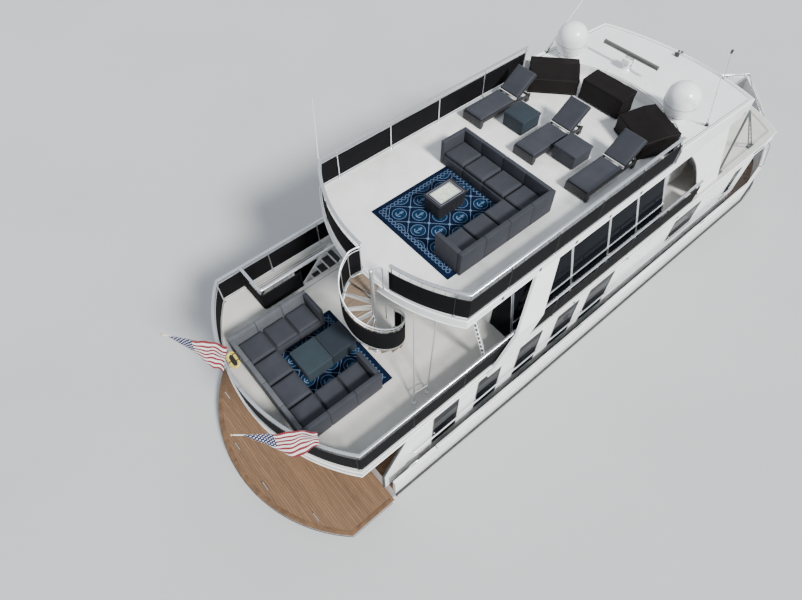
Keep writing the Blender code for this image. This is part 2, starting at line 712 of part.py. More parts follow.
# Side stair: two sloping stringers with treads between them, from the cockpit to deck two
rise = DECK_TWO - MAIN_DECK
stair_foot = WELL_AFT_X + 0.12
stair_head = WELL_FORE_X - SEAT
slope = rise / (stair_head - stair_foot)
stair_out = WELL_OUT_Y - 0.03
stair_in = WELL_IN_Y + 0.03
stringer_edge = [(stair_foot - 0.05, floor_z), (stair_foot + 0.28, floor_z),
                 (stair_head, DECK_TWO - 0.27), (stair_head, DECK_TWO - 0.01),
                 (stair_head - 0.1, DECK_TWO - 0.01)]
stair = plate([stringer_edge], stair_in, stair_in + STRINGER, "Y")
fuse(stair, plate([stringer_edge], stair_out - STRINGER, stair_out, "Y"))
for k in range(STEPS):
    z = MAIN_DECK + rise * (k + 1) / (STEPS + 1)
    x = stair_foot + (z - MAIN_DECK) / slope
    end_x = min(x + TREAD_DEEP, stair_head - 0.01)
    fuse(stair, box((x, stair_in + 0.01, z - 0.035), (end_x, stair_out - 0.01, z)))
keep(stair, "side_stair", "gelcoat")

# Bridge deck house: side walls set in from the covered walks, and a bulkhead aft
bridge_floor = DECK_TWO + SEAT
bridge_top = BRIDGE_CEILING - SEAT
bridge_fore = WINDSCREEN_BASE_X - 0.75
glazing = [(-5.1, -3.3), (-3.15, -1.35), (-1.2, 0.6), (0.75, 2.3)]
for side, label in ((1, "port"), (-1, "starboard")):
    edge = [(BRIDGE_AFT_X, bridge_floor), (bridge_fore, bridge_floor),
            (bridge_fore, bridge_top), (BRIDGE_AFT_X, bridge_top)]
    holes = [[(a, DECK_TWO + 0.8), (b, DECK_TWO + 0.8), (b, DECK_TWO + 1.95), (a, DECK_TWO + 1.95)]
             for a, b in glazing]
    inner, outer = sorted((side * BRIDGE_HALF, side * (BRIDGE_HALF - WALL)))
    keep(plate([edge] + holes, inner, outer, "Y"), "bridge_wall_" + label, "gelcoat")
bulkhead("bridge_aft_bulkhead", BRIDGE_AFT_X, BRIDGE_HALF - WALL - SEAT, bridge_floor, bridge_top,
         doorway(DECK_TWO, BRIDGE_DOOR_TALL))
sliding_door("bridge_door", BRIDGE_AFT_X, DECK_TWO, BRIDGE_DOOR_TALL)

# Pilothouse front: full-width wings with a raked, curved after edge, and the windscreen between them
lean = (BRIDGE_HALF_BASE - BRIDGE_HALF_HEAD) / HEADROOM
rake = (WINDSCREEN_BASE_X - WINDSCREEN_HEAD_X) / HEADROOM
after_edge = []
for k in range(9):
    share = k / 8
    belly = 0.35 * math.sin(math.pi * share) * share
    after_edge.append((WING_BASE_X + (WING_HEAD_X - WING_BASE_X) * share + belly,
                       bridge_floor + (bridge_top - bridge_floor) * share))
wing_edge = [(WINDSCREEN_BASE_X, bridge_floor), (WINDSCREEN_HEAD_X, bridge_top), *reversed(after_edge)]
screen_edge = [(-BRIDGE_HALF_BASE, bridge_floor), (BRIDGE_HALF_BASE, bridge_floor),
               (BRIDGE_HALF_HEAD, bridge_top), (-BRIDGE_HALF_HEAD, bridge_top)]
panes = [window(y - 0.72, y + 0.72, DECK_TWO + 0.95, DECK_TWO + 1.9) for y in (-1.62, 0.0, 1.62)]
screen = plate([screen_edge] + panes, WINDSCREEN_BASE_X - 0.06, WINDSCREEN_BASE_X, "X")
reshape(screen, lambda p: Vector((p.x - (p.z - DECK_TWO) * rake, p.y, p.z)))
for side in (1, -1):
    inner, outer = sorted((side * BRIDGE_HALF_BASE, side * (BRIDGE_HALF_BASE - WALL)))
    wing = plate([wing_edge], inner, outer, "Y")
    reshape(wing, lambda p: Vector((p.x, p.y - side * (p.z - DECK_TWO) * lean, p.z)))
    fuse(screen, wing)
keep(screen, "pilothouse_front", "gelcoat")

# Top deck: the sun deck's slab, with an arc aft and one forward, where the roof begins
top_aft = arc(TOP_CORNER_X, TOP_HALF, TOP_APEX_X, 16)
roof_aft = arc(ROOF_AFT_X, TOP_HALF, ROOF_AFT_MID_X, 10, -1.0, 1.0)
keep(plate([top_aft + roof_aft], BRIDGE_CEILING, TOP_DECK), "top_deck", "gelcoat")

# Pilothouse roof: a shell that starts above the sun deck and slopes down forward
roof_aft_edge = [(x + SEAT * 2, y) for x, y in reversed(roof_aft)]
roof_nose = arc(ROOF_FORE_X, TOP_HALF - 0.04, ROOF_NOSE_X, 8, -1.0, 1.0)
roof_outline = roof_aft_edge + roof_nose
roof = plate([roof_outline], BRIDGE_CEILING, ROOF_AFT_Z)


def roof_slope(point):
    if point.z > BRIDGE_CEILING + 0.1:
        share = (point.x - ROOF_AFT_X) / (ROOF_NOSE_X - ROOF_AFT_X)
        point.z = ROOF_AFT_Z + (ROOF_NOSE_Z - ROOF_AFT_Z) * share
    return point


reshape(roof, roof_slope)
cavity_outline = offset(roof_outline + [roof_outline[0]], ROOF_SKIN)[:-1]
cavity = plate([cavity_outline], BRIDGE_CEILING - 0.1, ROOF_AFT_Z - ROOF_SKIN)
reshape(cavity, lambda p: roof_slope(p) - Vector((0, 0, ROOF_SKIN)) if p.z > BRIDGE_CEILING + 0.1 else p)
cut(roof, cavity)

# Guard rails of the sun deck: each side runs from the roof round the quarter to the stair gap
rail_top_half = TOP_HALF - RAIL_INSET
for side, label, gap in ((1, "port", STAIR_GAP[0]), (-1, "starboard", -STAIR_GAP[1])):
    start = rail_top_half
    quarter = arc(TOP_CORNER_X + RAIL_INSET, rail_top_half, TOP_APEX_X + RAIL_INSET, 8,
                  1.0, gap / rail_top_half)
    run = [(TOP_RAIL_FORE_X, rail_top_half)] + quarter
    keep(guard([run if side == 1 else mirrored(run)], TOP_DECK), "top_rail_" + label, "guard_mesh")

# Fins: a raked white blade on each side that ties deck two's edge to the top deck
# columns: z, aft x, forward x, inner y
FIN_SECTIONS = [(MAIN_CEILING + 0.02, -6.42, -5.38, TWO_HALF + SEAT),
                (DECK_TWO + 0.95, -5.62, -4.68, TWO_HALF + SEAT),
                (BRIDGE_CEILING - SEAT, -4.72, -3.92, TOP_HALF - 0.075)]
for side, label in ((1, "port"), (-1, "starboard")):
    rings = []
    for z, aft, fore, y in FIN_SECTIONS:
        ring = [(aft, y, z), (fore, y, z), (fore, y + 0.07, z), (aft, y + 0.07, z)]
        rings.append([(x, side * across, height) for x, across, height in ring])
    keep(loft(rings), "side_fin_" + label, "gelcoat")

# Side posts: silver posts from deck two to a header under the top deck, with the quarter post aft
for side, label in ((1, "port"), (-1, "starboard")):
    head_y = side * (TOP_HALF - 0.16)
    foot_y = side * (rail_half - 0.10)
    head_z = BRIDGE_CEILING - 0.03
    header = box((-6.72, head_y - 0.04, BRIDGE_CEILING - 0.065),
                 (0.80, head_y + 0.04, BRIDGE_CEILING - SEAT))
    posts = []
    # columns: x at the foot, x at the head
    for foot_x, head_x in ((-6.30, -6.66), (-3.05, -3.24), (-1.50, -1.74), (-0.16, -0.58), (1.10, 0.64)):
        posts.append(rod((foot_x, foot_y, DECK_TWO + 0.02), (head_x, head_y, head_z), 0.03))
    for foot_x, foot_post in zip((-6.30, -3.05, -1.50, -0.16, 1.10), posts):
        pad = box((foot_x - 0.06, foot_y - 0.045, bridge_floor),
                  (foot_x + 0.06, foot_y + 0.045, DECK_TWO + 0.04))
        fuse(header, foot_post, pad)
    keep(header, "side_posts_" + label, "silver")

# Spiral stair: a pole, a landing at the sun deck, treads that wind down and a guard outside them
pole_top = TOP_DECK + RAIL_HEIGHT
spiral = rod((0, 0, bridge_floor), (0, 0, pole_top), SPIRAL_POLE, None, 12)
fuse(spiral, box((-0.12, -0.12, bridge_floor), (0.12, 0.12, DECK_TWO + 0.02)))


def wedge(first, last, inner, outer, low, high):
    """A tread: a slice of a ring between two angles."""
    corners = [(inner, first), (outer, first), (outer, (first + last) / 2), (outer, last), (inner, last)]
    edge = [(radius * math.cos(angle), radius * math.sin(angle)) for radius, angle in corners]
    return plate([edge], low, high)


step_rise = (TOP_DECK - DECK_TWO) / (SPIRAL_TREADS + 1)
landing_first = SPIRAL_START - math.radians(52)
fuse(spiral, wedge(landing_first, SPIRAL_START + SPIRAL_STEP, 0.02, SPIRAL_RADIUS,
                   TOP_DECK - 0.06, TOP_DECK - 0.01))
guard_rings = []
for k in range(SPIRAL_TREADS):
    first = SPIRAL_START + SPIRAL_STEP * (k + 0.6)
    z = TOP_DECK - step_rise * (k + 1)
    fuse(spiral, wedge(first, first + SPIRAL_STEP * 1.15, 0.02, SPIRAL_RADIUS, z - TREAD_THICK, z))
GUARD_STEPS = 34
for k in range(GUARD_STEPS + 1):
    turn = k / GUARD_STEPS * (SPIRAL_TREADS + 0.9)
    angle = SPIRAL_START - math.radians(6) + SPIRAL_STEP * turn
    z = TOP_DECK - step_rise * max(0.0, turn - 0.9)
    ring = []
    for radius, height in ((SPIRAL_RADIUS - 0.01, -0.06), (SPIRAL_RADIUS + 0.015, -0.06),
                           (SPIRAL_RADIUS + 0.015, RAIL_HEIGHT), (SPIRAL_RADIUS - 0.01, RAIL_HEIGHT)):
        ring.append((radius * math.cos(angle), radius * math.sin(angle), z + height))
    guard_rings.append(ring)
fuse(spiral, loft(guard_rings))
clearance = [(x - SPIRAL_X, y - SPIRAL_Y) for x, y in offset(top_aft, -SEAT)]
cut(spiral, plate([clearance], BRIDGE_CEILING - 0.01, TOP_DECK + 0.01))
keep(spiral, "spiral_stair", "silver")
spiral.location = (SPIRAL_X, SPIRAL_Y, 0)

# Stay ladder: two slim poles with rungs, under the sun deck's starboard quarter
# each pole: its foot and its head in plan
STAYS = [((-8.39, -2.58), (-7.54, -1.55)), ((-7.97, -2.58), (-7.25, -2.02))]
STAY_RADIUS = 0.018
ends = [(Vector((*foot, bridge_floor + 0.01)), Vector((*head, BRIDGE_CEILING - 0.012)))
        for foot, head in STAYS]
poles = [rod(foot, head, STAY_RADIUS) for foot, head in ends]
for foot, head in ends:
    poles.append(rod(foot - Vector((0, 0, 0.01)), foot + Vector((0, 0, 0.02)), 0.05))
    poles.append(rod(head - Vector((0, 0, 0.018)), head + Vector((0, 0, 0.012 - SEAT)), 0.05))
for share in (0.1, 0.9):
    rung = [foot.lerp(head, share) for foot, head in ends]
    poles.append(rod(*rung, STAY_RADIUS * 0.6, None, 8))
stays = poles.pop(0)
fuse(stays, *poles)
keep(stays, "stay_poles", "silver")


def roof_z(x):
    return ROOF_AFT_Z + (ROOF_NOSE_Z - ROOF_AFT_Z) * (x - ROOF_AFT_X) / (ROOF_NOSE_X - ROOF_AFT_X)


def seated(point, below):
    """A point under the given height goes down to the sloping roof."""
    return Vector((point.x, point.y, roof_z(point.x) + SEAT)) if point.z < below else point


# Radar: a pedestal on the roof and an open array that turns on it
RADAR = (2.72, TOP_HALF - 2.14)
radar_foot = roof_z(RADAR[0])
pedestal_top = radar_foot + 0.34
fuse(roof, rod((*RADAR, radar_foot - 0.05), (*RADAR, pedestal_top - 0.1), 0.16, 0.11, 16),
     box((RADAR[0] - 0.17, RADAR[1] - 0.13, pedestal_top - 0.14),
         (RADAR[0] + 0.17, RADAR[1] + 0.13, pedestal_top)))
keep(roof, "pilothouse_roof", "gelcoat")
array = box((-0.06, -0.95, 0.05), (0.06, 0.95, 0.17))
fuse(array, rod((0, 0, 0), (0, 0, 0.08), 0.05, None, 14))
keep(array, "radar_array", "gelcoat")
array.location = (*RADAR, pedestal_top + SEAT)

# Satellite domes: a turned shell on a short base, on the roof near each side
# columns: name, x, y
DOME_FOOT = 0.30
for label, x, y in (("port", 1.85, TOP_HALF - 0.60), ("starboard", 1.80, 1.02 - TOP_HALF)):
    foot = roof_z(x - DOME_FOOT) + SEAT
    profile = [(0.0, 1.00), (0.16, 0.975), (0.30, 0.90), (0.405, 0.78), (0.445, 0.64), (0.445, 0.44),
               (0.40, 0.24), (0.34, 0.12), (DOME_FOOT, 0.0), (0.0, 0.0)]
    shape = bmesh.new()
    verts = [shape.verts.new((r, 0, z)) for r, z in profile]
    edges = [shape.edges.new(pair) for pair in zip(verts, verts[1:])]
    bmesh.ops.spin(shape, geom=verts + edges, cent=(0, 0, 0), axis=(0, 0, 1), dvec=(0, 0, 0),
                   angle=math.tau, steps=24, use_merge=True)
    bmesh.ops.remove_doubles(shape, verts=shape.verts, dist=0.0001)
    bmesh.ops.recalc_face_normals(shape, faces=shape.faces)
    bmesh.ops.translate(shape, vec=(x, y, foot), verts=shape.verts)
    dome = reshape(from_bmesh(shape), lambda p: seated(p, foot + 0.001))
    keep(dome, "satellite_dome_" + label, "gelcoat")

# Antennas: tapered whips on short bases
# columns: name, foot, tip
port_whip_y = TOP_HALF - 0.09
WHIPS = [("starboard", (2.15, 0.22 - TOP_HALF, roof_z(2.09)), (0.80, 0.16 - TOP_HALF, 9.10)),
         ("port", (1.45, port_whip_y, roof_z(1.39)), (3.10, port_whip_y, 7.95)),
         ("quarter", (-6.99, TOP_HALF + SEAT + 0.03, TOP_DECK - 0.2), (-6.83, TOP_HALF + 0.06, 8.58))]
for label, foot, tip in WHIPS:
    foot, tip = Vector(foot), Vector(tip)
    whip = rod(foot + Vector((0, 0, 0.05)), tip, 0.016, 0.006, 8)
    base = rod(foot + Vector((0, 0, SEAT)), foot + Vector((0, 0, 0.12)), 0.03, None, 10)
    if foot.x > ROOF_AFT_X:
        reshape(base, lambda p: seated(p, foot.z + 0.05))
    fuse(whip, base)
    keep(whip, "antenna_" + label, "gelcoat")

# Gangway frame: a post and a lattice leg that meet over the foredeck's starboard edge
apex = (4.25, -2.78, 6.02)
post = rod((4.32, -2.90, DECK_TWO + 0.01), apex, 0.035)
leg_foot = (6.30, -2.86, DECK_TWO + 0.01)
for shift in (-0.11, 0.11):
    start = Vector(leg_foot) + Vector((shift, 0, 0.01))
    fuse(post, rod(start, Vector(apex) + Vector((shift * 0.2, 0, -0.02)), 0.018, None, 8))
for k in range(1, 7):
    middle = Vector(leg_foot).lerp(Vector(apex), k / 8)
    reach = 0.11 * (1 - 0.8 * k / 8) + 0.02
    fuse(post, rod(middle - Vector((reach, 0, 0)), middle + Vector((reach, 0, 0)), 0.012, None, 6))
for x, y in ((4.32, -2.90), (6.30, -2.86)):
    fuse(post, box((x - 0.16, y - 0.06, bridge_floor), (x + 0.16, y + 0.06, DECK_TWO + 0.03)))
keep(post, "gangway_frame", "silver")

# Furniture
def arm_end(corner, neighbour, side):
    """Where the arm at an end of a sofa stops: across the seat from the path's end."""
    way = (Vector(neighbour) - Vector(corner)).normalized()
    return tuple(Vector(corner) + Vector((-way.y, way.x)) * side * (SOFA_DEEP - 0.005))


def sofa(name, outside, floor):
    """A modular sofa that follows its outer edge: seats all along, with a back and end arms outside."""
    inside_edge = list(reversed(offset(outside, SOFA_DEEP)))
    seat = plate([outside + inside_edge], floor + SEAT, floor + SOFA_SEAT)
    line = [arm_end(outside[0], outside[1], 1), *outside, arm_end(outside[-1], outside[-2], -1)]
    back = plate([offset(line, 0.005) + list(reversed(offset(line, SOFA_BACK)))],
                 floor + SOFA_SEAT - 0.1, floor + SOFA_TALL)
    return keep(fuse(seat, back), name, "wicker")


sun_sofa_aft = SUN_SOFA_FORE_X - SUN_SOFA_LONG
sun_sofa_starboard = SUN_SOFA_PORT_Y - SUN_SOFA_WIDE
sofa("sun_sofa", [(sun_sofa_aft, sun_sofa_starboard), (SUN_SOFA_FORE_X, sun_sofa_starboard),
                  (SUN_SOFA_FORE_X, SUN_SOFA_PORT_Y)], TOP_DECK + RUG_THICK)
aft_sofa_fore = AFT_SOFA_AFT_X + AFT_SOFA_LONG
aft_sofa_starboard = AFT_SOFA_PORT_Y - AFT_SOFA_WIDE
sofa("aft_sofa", [(aft_sofa_fore, AFT_SOFA_PORT_Y), (AFT_SOFA_AFT_X, AFT_SOFA_PORT_Y),
                  (AFT_SOFA_AFT_X, aft_sofa_starboard), (aft_sofa_fore, aft_sofa_starboard)],
     DECK_TWO + RUG_THICK)


def rug(name, low, high, floor):
    keep(box((*low, floor + SEAT), (*high, floor + RUG_THICK)), name, "rug_navy")


# Each rug starts under its sofa's seats and comes out at the open side
rug("sun_rug", (sun_sofa_aft - 0.27, sun_sofa_starboard + 0.10),
    (SUN_SOFA_FORE_X - SOFA_DEEP + 0.14, SUN_SOFA_PORT_Y - 0.22), TOP_DECK)
rug("aft_rug", (AFT_SOFA_AFT_X + SOFA_DEEP - 0.56, aft_sofa_starboard + 0.06),
    (aft_sofa_fore + 0.36, AFT_SOFA_PORT_Y - SOFA_DEEP + 0.34), DECK_TWO)


def table(low, high, floor):
    """A table: a top on a slightly smaller body."""
    body = box((low[0] + TABLE_OVERHANG, low[1] + TABLE_OVERHANG, floor + SEAT),
               (high[0] - TABLE_OVERHANG, high[1] - TABLE_OVERHANG, floor + TABLE_TALL - 0.03))
    return fuse(body, box((*low, floor + TABLE_TALL - 0.05), (*high, floor + TABLE_TALL)))


middle_lounger = LOUNGER_Y[1][1]
cube_x = LOUNGER_FOOT_X + 0.65
port_cube_y = middle_lounger + LOUNGER_WIDE / 2 + PORT_CUBE_GAP
starboard_cube_y = middle_lounger - LOUNGER_WIDE / 2 - STARBOARD_CUBE_GAP - CUBE
# columns: name, low corner, length and width, what it stands on
fire_table_low = (sun_sofa_aft + 0.78, sun_sofa_starboard + 1.54)
aft_table_low = (AFT_SOFA_AFT_X + 1.00, aft_sofa_starboard + 1.26)
TABLES = [("fire_table", fire_table_low, FIRE_TABLE, TOP_DECK + RUG_THICK),
          ("aft_table", aft_table_low, AFT_TABLE, DECK_TWO + RUG_THICK),
          ("cube_table_port", (cube_x, port_cube_y), (CUBE, CUBE), TOP_DECK),
          ("cube_table_starboard", (cube_x, starboard_cube_y), (CUBE, CUBE), TOP_DECK)]
for name, low, (length, width), floor in TABLES:
    keep(table(low, (low[0] + length, low[1] + width), floor), name, "wicker")

# Loungers: a flat bed on two legs with the back raised
for label, centre in LOUNGER_Y:
    low, high = centre - LOUNGER_WIDE / 2, centre + LOUNGER_WIDE / 2
    bed_z = TOP_DECK + LOUNGER_BED_Z
    profile = [(LOUNGER_FOOT_X, bed_z - LOUNGER_THICK), (LOUNGER_HINGE_X, bed_z - LOUNGER_THICK),
               (LOUNGER_HEAD_X, TOP_DECK + LOUNGER_HEAD_Z - LOUNGER_THICK),
               (LOUNGER_HEAD_X - 0.05, TOP_DECK + LOUNGER_HEAD_Z),
               (LOUNGER_HINGE_X, bed_z), (LOUNGER_FOOT_X, bed_z)]
    lounger = plate([profile], low, high, "Y")
    for x in (LOUNGER_FOOT_X + 0.12, LOUNGER_HINGE_X + 0.02):
        fuse(lounger, box((x, low + 0.03, TOP_DECK + SEAT),
                          (x + 0.09, high - 0.03, bed_z - LOUNGER_THICK + 0.03)))
    keep(lounger, "lounger_" + label, "wicker")

# Covered chairs: seats stowed under fitted covers
for label, x, y, length, width, turn in COVERED:
    cover = box((-length / 2, -width / 2, TOP_DECK + SEAT), (length / 2, width / 2, TOP_DECK + COVER_TALL))
    spin = Matrix.Translation((x, y, 0)) @ Matrix.Rotation(math.radians(turn), 4, "Z")
    reshape(cover, lambda p: spin @ p)
    keep(cover, "covered_chair_" + label, "cover_brown")

# Ensigns: a raked staff clamped to the guard rail each side, with a 3 by 5 foot flag that hangs to
# starboard of it and folds over on itself
# columns: name, height of the clamp, tip of the staff, and the flag's fold, peak and clew
STAFF_RADIUS = 0.02
CLAMP_Z = DECK_TWO + 0.58
FLAG_HOIST = 0.914
FLAG_HALF_THICK = 0.016
ENSIGNS = [("port", 1, 0.16, (-11.77, 1.05, 4.75), (-11.16, 0.87, 5.00), (-11.56, 0.58, 4.56)),
           ("starboard", -1, 0.32, (-11.50, -2.25, 4.78), (-10.80, -2.25, 5.20), (-10.89, -2.38, 4.73))]
for label, side, bare, *free in ENSIGNS:
    foot_y = 1.50 * side
    rail_line = rail_aft if side > 0 else mirrored(rail_aft)
    leg = next((p, q) for p, q in zip(rail_line, rail_line[1:]) if p[1] > foot_y >= q[1])
    share = (leg[0][1] - foot_y) / (leg[0][1] - leg[1][1])
    middle = Vector(leg[0]).lerp(Vector(leg[1]), share)
    way = (Vector(leg[1]) - Vector(leg[0])).normalized() * 0.05
    clamp_half = STAFF_RADIUS + 0.012
    clamp_line = offset([middle - way, middle + way], -MESH_HALF - SEAT - clamp_half)
    base = Vector((*(Vector(clamp_line[0]) + Vector(clamp_line[1])) / 2, CLAMP_Z))
    tip = Vector((-12.20, foot_y, 5.80))
    staff = rod(base, tip, STAFF_RADIUS, 0.014, 10)
    fuse(staff, band(clamp_line, clamp_half, base.z - 0.02, base.z + 0.10))
    fold, peak, clew = [Vector(spot) for spot in free]
    along = (base - tip).normalized()
    top = tip + along * bare
    bottom = top + along * FLAG_HOIST
    under = (bottom - top).cross(fold - top).normalized()
    over = (fold - top).cross(peak - top).normalized()
    shift = (over + under).normalized() * FLAG_HALF_THICK
    flag = bmesh.new()
    corners = [flag.verts.new(spot - shift) for spot in (top, bottom, fold, clew, peak)]
    for trio in ((0, 1, 2), (0, 2, 4), (2, 3, 4)):
        flag.faces.new([corners[i] for i in trio])
    made = bmesh.ops.extrude_face_region(flag, geom=flag.faces, use_keep_orig=True)["geom"]
    moved = [item for item in made if isinstance(item, bmesh.types.BMVert)]
    bmesh.ops.translate(flag, vec=shift * 2, verts=moved)
    bmesh.ops.recalc_face_normals(flag, faces=flag.faces)
    fuse(staff, from_bmesh(flag))
    keep(staff, "ensign_" + label, "flag_cloth")

for piece in PARTS.objects:
    piece.data.shade_smooth()
    piece.data.set_sharp_from_angle(angle=math.radians(35))
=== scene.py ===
# Looks of a 25 m motor yacht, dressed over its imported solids.
# Metres. +X forward, +Y port, +Z up. Origin amidships on the centreline at the waterline.
import math

import bmesh
import bpy
from mathutils import Matrix, Vector, noise
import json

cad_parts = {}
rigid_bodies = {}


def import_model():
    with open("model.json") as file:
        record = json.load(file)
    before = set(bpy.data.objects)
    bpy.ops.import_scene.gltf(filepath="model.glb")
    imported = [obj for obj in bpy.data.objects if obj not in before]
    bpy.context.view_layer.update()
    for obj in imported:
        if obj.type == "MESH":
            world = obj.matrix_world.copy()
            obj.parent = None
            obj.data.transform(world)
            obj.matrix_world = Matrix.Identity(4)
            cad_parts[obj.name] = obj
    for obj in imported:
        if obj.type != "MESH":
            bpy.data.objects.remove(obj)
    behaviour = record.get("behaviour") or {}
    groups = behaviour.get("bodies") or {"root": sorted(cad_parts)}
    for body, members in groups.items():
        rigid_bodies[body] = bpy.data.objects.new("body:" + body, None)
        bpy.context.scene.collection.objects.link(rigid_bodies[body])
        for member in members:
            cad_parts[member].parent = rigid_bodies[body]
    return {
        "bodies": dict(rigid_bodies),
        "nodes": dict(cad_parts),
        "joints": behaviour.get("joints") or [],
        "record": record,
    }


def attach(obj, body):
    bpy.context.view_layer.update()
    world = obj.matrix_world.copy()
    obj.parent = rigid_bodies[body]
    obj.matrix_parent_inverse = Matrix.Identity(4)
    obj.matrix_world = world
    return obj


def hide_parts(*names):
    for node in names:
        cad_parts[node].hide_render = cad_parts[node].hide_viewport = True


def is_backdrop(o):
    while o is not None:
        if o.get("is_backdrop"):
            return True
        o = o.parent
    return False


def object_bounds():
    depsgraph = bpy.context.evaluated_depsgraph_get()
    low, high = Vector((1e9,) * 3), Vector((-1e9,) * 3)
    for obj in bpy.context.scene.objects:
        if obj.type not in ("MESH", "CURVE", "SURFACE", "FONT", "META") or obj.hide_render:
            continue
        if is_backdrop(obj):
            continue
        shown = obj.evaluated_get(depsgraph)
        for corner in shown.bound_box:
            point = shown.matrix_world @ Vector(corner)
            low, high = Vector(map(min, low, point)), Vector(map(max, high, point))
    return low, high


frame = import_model()
cad_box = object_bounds()
nodes = frame["nodes"]


# Studio: a plain pale floor at the waterline, a soft even sky and one broad soft light on the
# starboard beam. The camera stands where the photograph was taken from.
CAMERA_PLACE = (-12.2335, -6.7356, 16.2271)
CAMERA_TURN = (34.646, 0.275, -40.197)      # degrees about X, Y and Z
CAMERA_LENS = 25.063                        # mm on a 36 mm wide frame
SUN_TURN = (47.0, -2.0, 0.0)
FLOOR_HALF = 60.0

camera = bpy.data.objects.new("camera", bpy.data.cameras.new("camera"))
camera.data.lens = CAMERA_LENS
camera.data.sensor_width = 36.0
camera.data.clip_end = 500.0
camera.location = CAMERA_PLACE
camera.rotation_euler = [math.radians(angle) for angle in CAMERA_TURN]
bpy.context.scene.collection.objects.link(camera)
bpy.context.scene.camera = camera

sun = bpy.data.objects.new("sun", bpy.data.lights.new("sun", "SUN"))
sun.data.energy = 6.7
sun.data.angle = math.radians(11)
sun.data.color = (1.0, 0.985, 0.96)
sun.rotation_euler = [math.radians(angle) for angle in SUN_TURN]
bpy.context.scene.collection.objects.link(sun)

sky = bpy.data.worlds.new("sky")
sky.use_nodes = True
sky.node_tree.nodes["Background"].inputs["Color"].default_value = (0.80, 0.86, 0.94, 1.0)
sky.node_tree.nodes["Background"].inputs["Strength"].default_value = 0.92
bpy.context.scene.world = sky


def node(tree, kind, inputs, **settings):
    """Add one shader node. An input is a number, a colour or another node's output."""
    made = tree.nodes.new("ShaderNode" + kind)
    for name, value in settings.items():
        setattr(made, name, value)
    for key, value in inputs.items():
        if isinstance(value, bpy.types.NodeSocket):
            tree.links.new(value, made.inputs[key])
        else:
            made.inputs[key].default_value = value
    return made.outputs[0]


def new_finish(name, colour, roughness, metallic=0.0):
    """A material with its shader and the point on the object that patterns are read from."""
    material = bpy.data.materials.new(name)
    material.use_nodes = True
    tree = material.node_tree
    shader = tree.nodes["Principled BSDF"]
    shader.inputs["Base Color"].default_value = (*colour, 1.0)
    shader.inputs["Roughness"].default_value = roughness
    shader.inputs["Metallic"].default_value = metallic
    place = tree.nodes.new("ShaderNodeTexCoord").outputs["Object"]
    return material, tree, shader, place


def mottle(tree, place, scale, low, high, detail=4.0):
    """A value that drifts between low and high over the surface."""
    cloud = node(tree, "TexNoise", {"Vector": place, "Scale": scale, "Detail": detail})
    return node(tree, "MapRange", {"Value": cloud, "From Min": 0.3, "From Max": 0.7,
                                   "To Min": low, "To Max": high})


def mixed(tree, share, first, second):
    """Colour one where the share is 0 and colour two where it is 1."""
    colours = [value if isinstance(value, bpy.types.NodeSocket) else (*value, 1.0)
               for value in (first, second)]
    return node(tree, "MixRGB", {"Fac": share, "Color1": colours[0], "Color2": colours[1]})


def paint_floor():
    """Matt grey studio paper, slightly uneven."""
    material, tree, shader, place = new_finish("studio_floor", (0.46, 0.465, 0.47), 0.8)
    tint = mixed(tree, mottle(tree, place, 0.15, 0.0, 1.0), (0.45, 0.455, 0.46),
                 (0.48, 0.485, 0.49))
    tree.links.new(tint, shader.inputs["Base Color"])
    return material


shape = bmesh.new()
bmesh.ops.create_grid(shape, x_segments=1, y_segments=1, size=FLOOR_HALF)
mesh = bpy.data.meshes.new("floor")
shape.to_mesh(mesh)
shape.free()
floor = bpy.data.objects.new("floor", mesh)
floor.data.materials.append(paint_floor())
bpy.context.scene.collection.objects.link(floor)
floor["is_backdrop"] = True


# Hull: moulded in white gelcoat, with dark antifouling under a black boot stripe at the
# waterline. The solid's own surface stays, and its finish changes with height.
ANTIFOULING_TOP = 0.02
BOOT_TOP = 0.11


def bumped(tree, shader, height, distance, strength=0.5):
    """Drive the shader's normal from a height."""
    bump = node(tree, "Bump", {"Height": height, "Distance": distance, "Strength": strength})
    tree.links.new(bump, shader.inputs["Normal"])


def axes(tree, place):
    """The X, Y and Z of a point as three values."""
    split = tree.nodes.new("ShaderNodeSeparateXYZ")
    tree.links.new(place, split.inputs[0])
    return split.outputs["X"], split.outputs["Y"], split.outputs["Z"]


def gelcoat(name, colour=(0.86, 0.87, 0.87), roughness=0.30):
    """Polished white mouldings: faint clouding, a soft orange peel and a clear coat."""
    material, tree, shader, place = new_finish(name, colour, roughness)
    worn = tuple(channel * 0.93 for channel in colour)
    tint = mixed(tree, mottle(tree, place, 1.3, 0.0, 1.0), colour, worn)
    tree.links.new(tint, shader.inputs["Base Color"])
    tree.links.new(mottle(tree, place, 5.0, roughness * 0.8, roughness * 1.25),
                   shader.inputs["Roughness"])
    bumped(tree, shader, node(tree, "TexNoise", {"Vector": place, "Scale": 60.0}), 0.0006, 0.25)
    shader.inputs["Coat Weight"].default_value = 0.35
    shader.inputs["Coat Roughness"].default_value = 0.12
    return material, tree, shader, place


def above(tree, value, limit, soft=0.004):
    """0 below the limit and 1 above it, with a short ramp between."""
    return node(tree, "MapRange", {"Value": value, "From Min": limit - soft,
                                   "From Max": limit + soft})


def finish_cad(name, material):
    """Give a solid that stays its finish."""
    piece = nodes[name]
    piece.data.materials.clear()
    piece.data.materials.append(material)


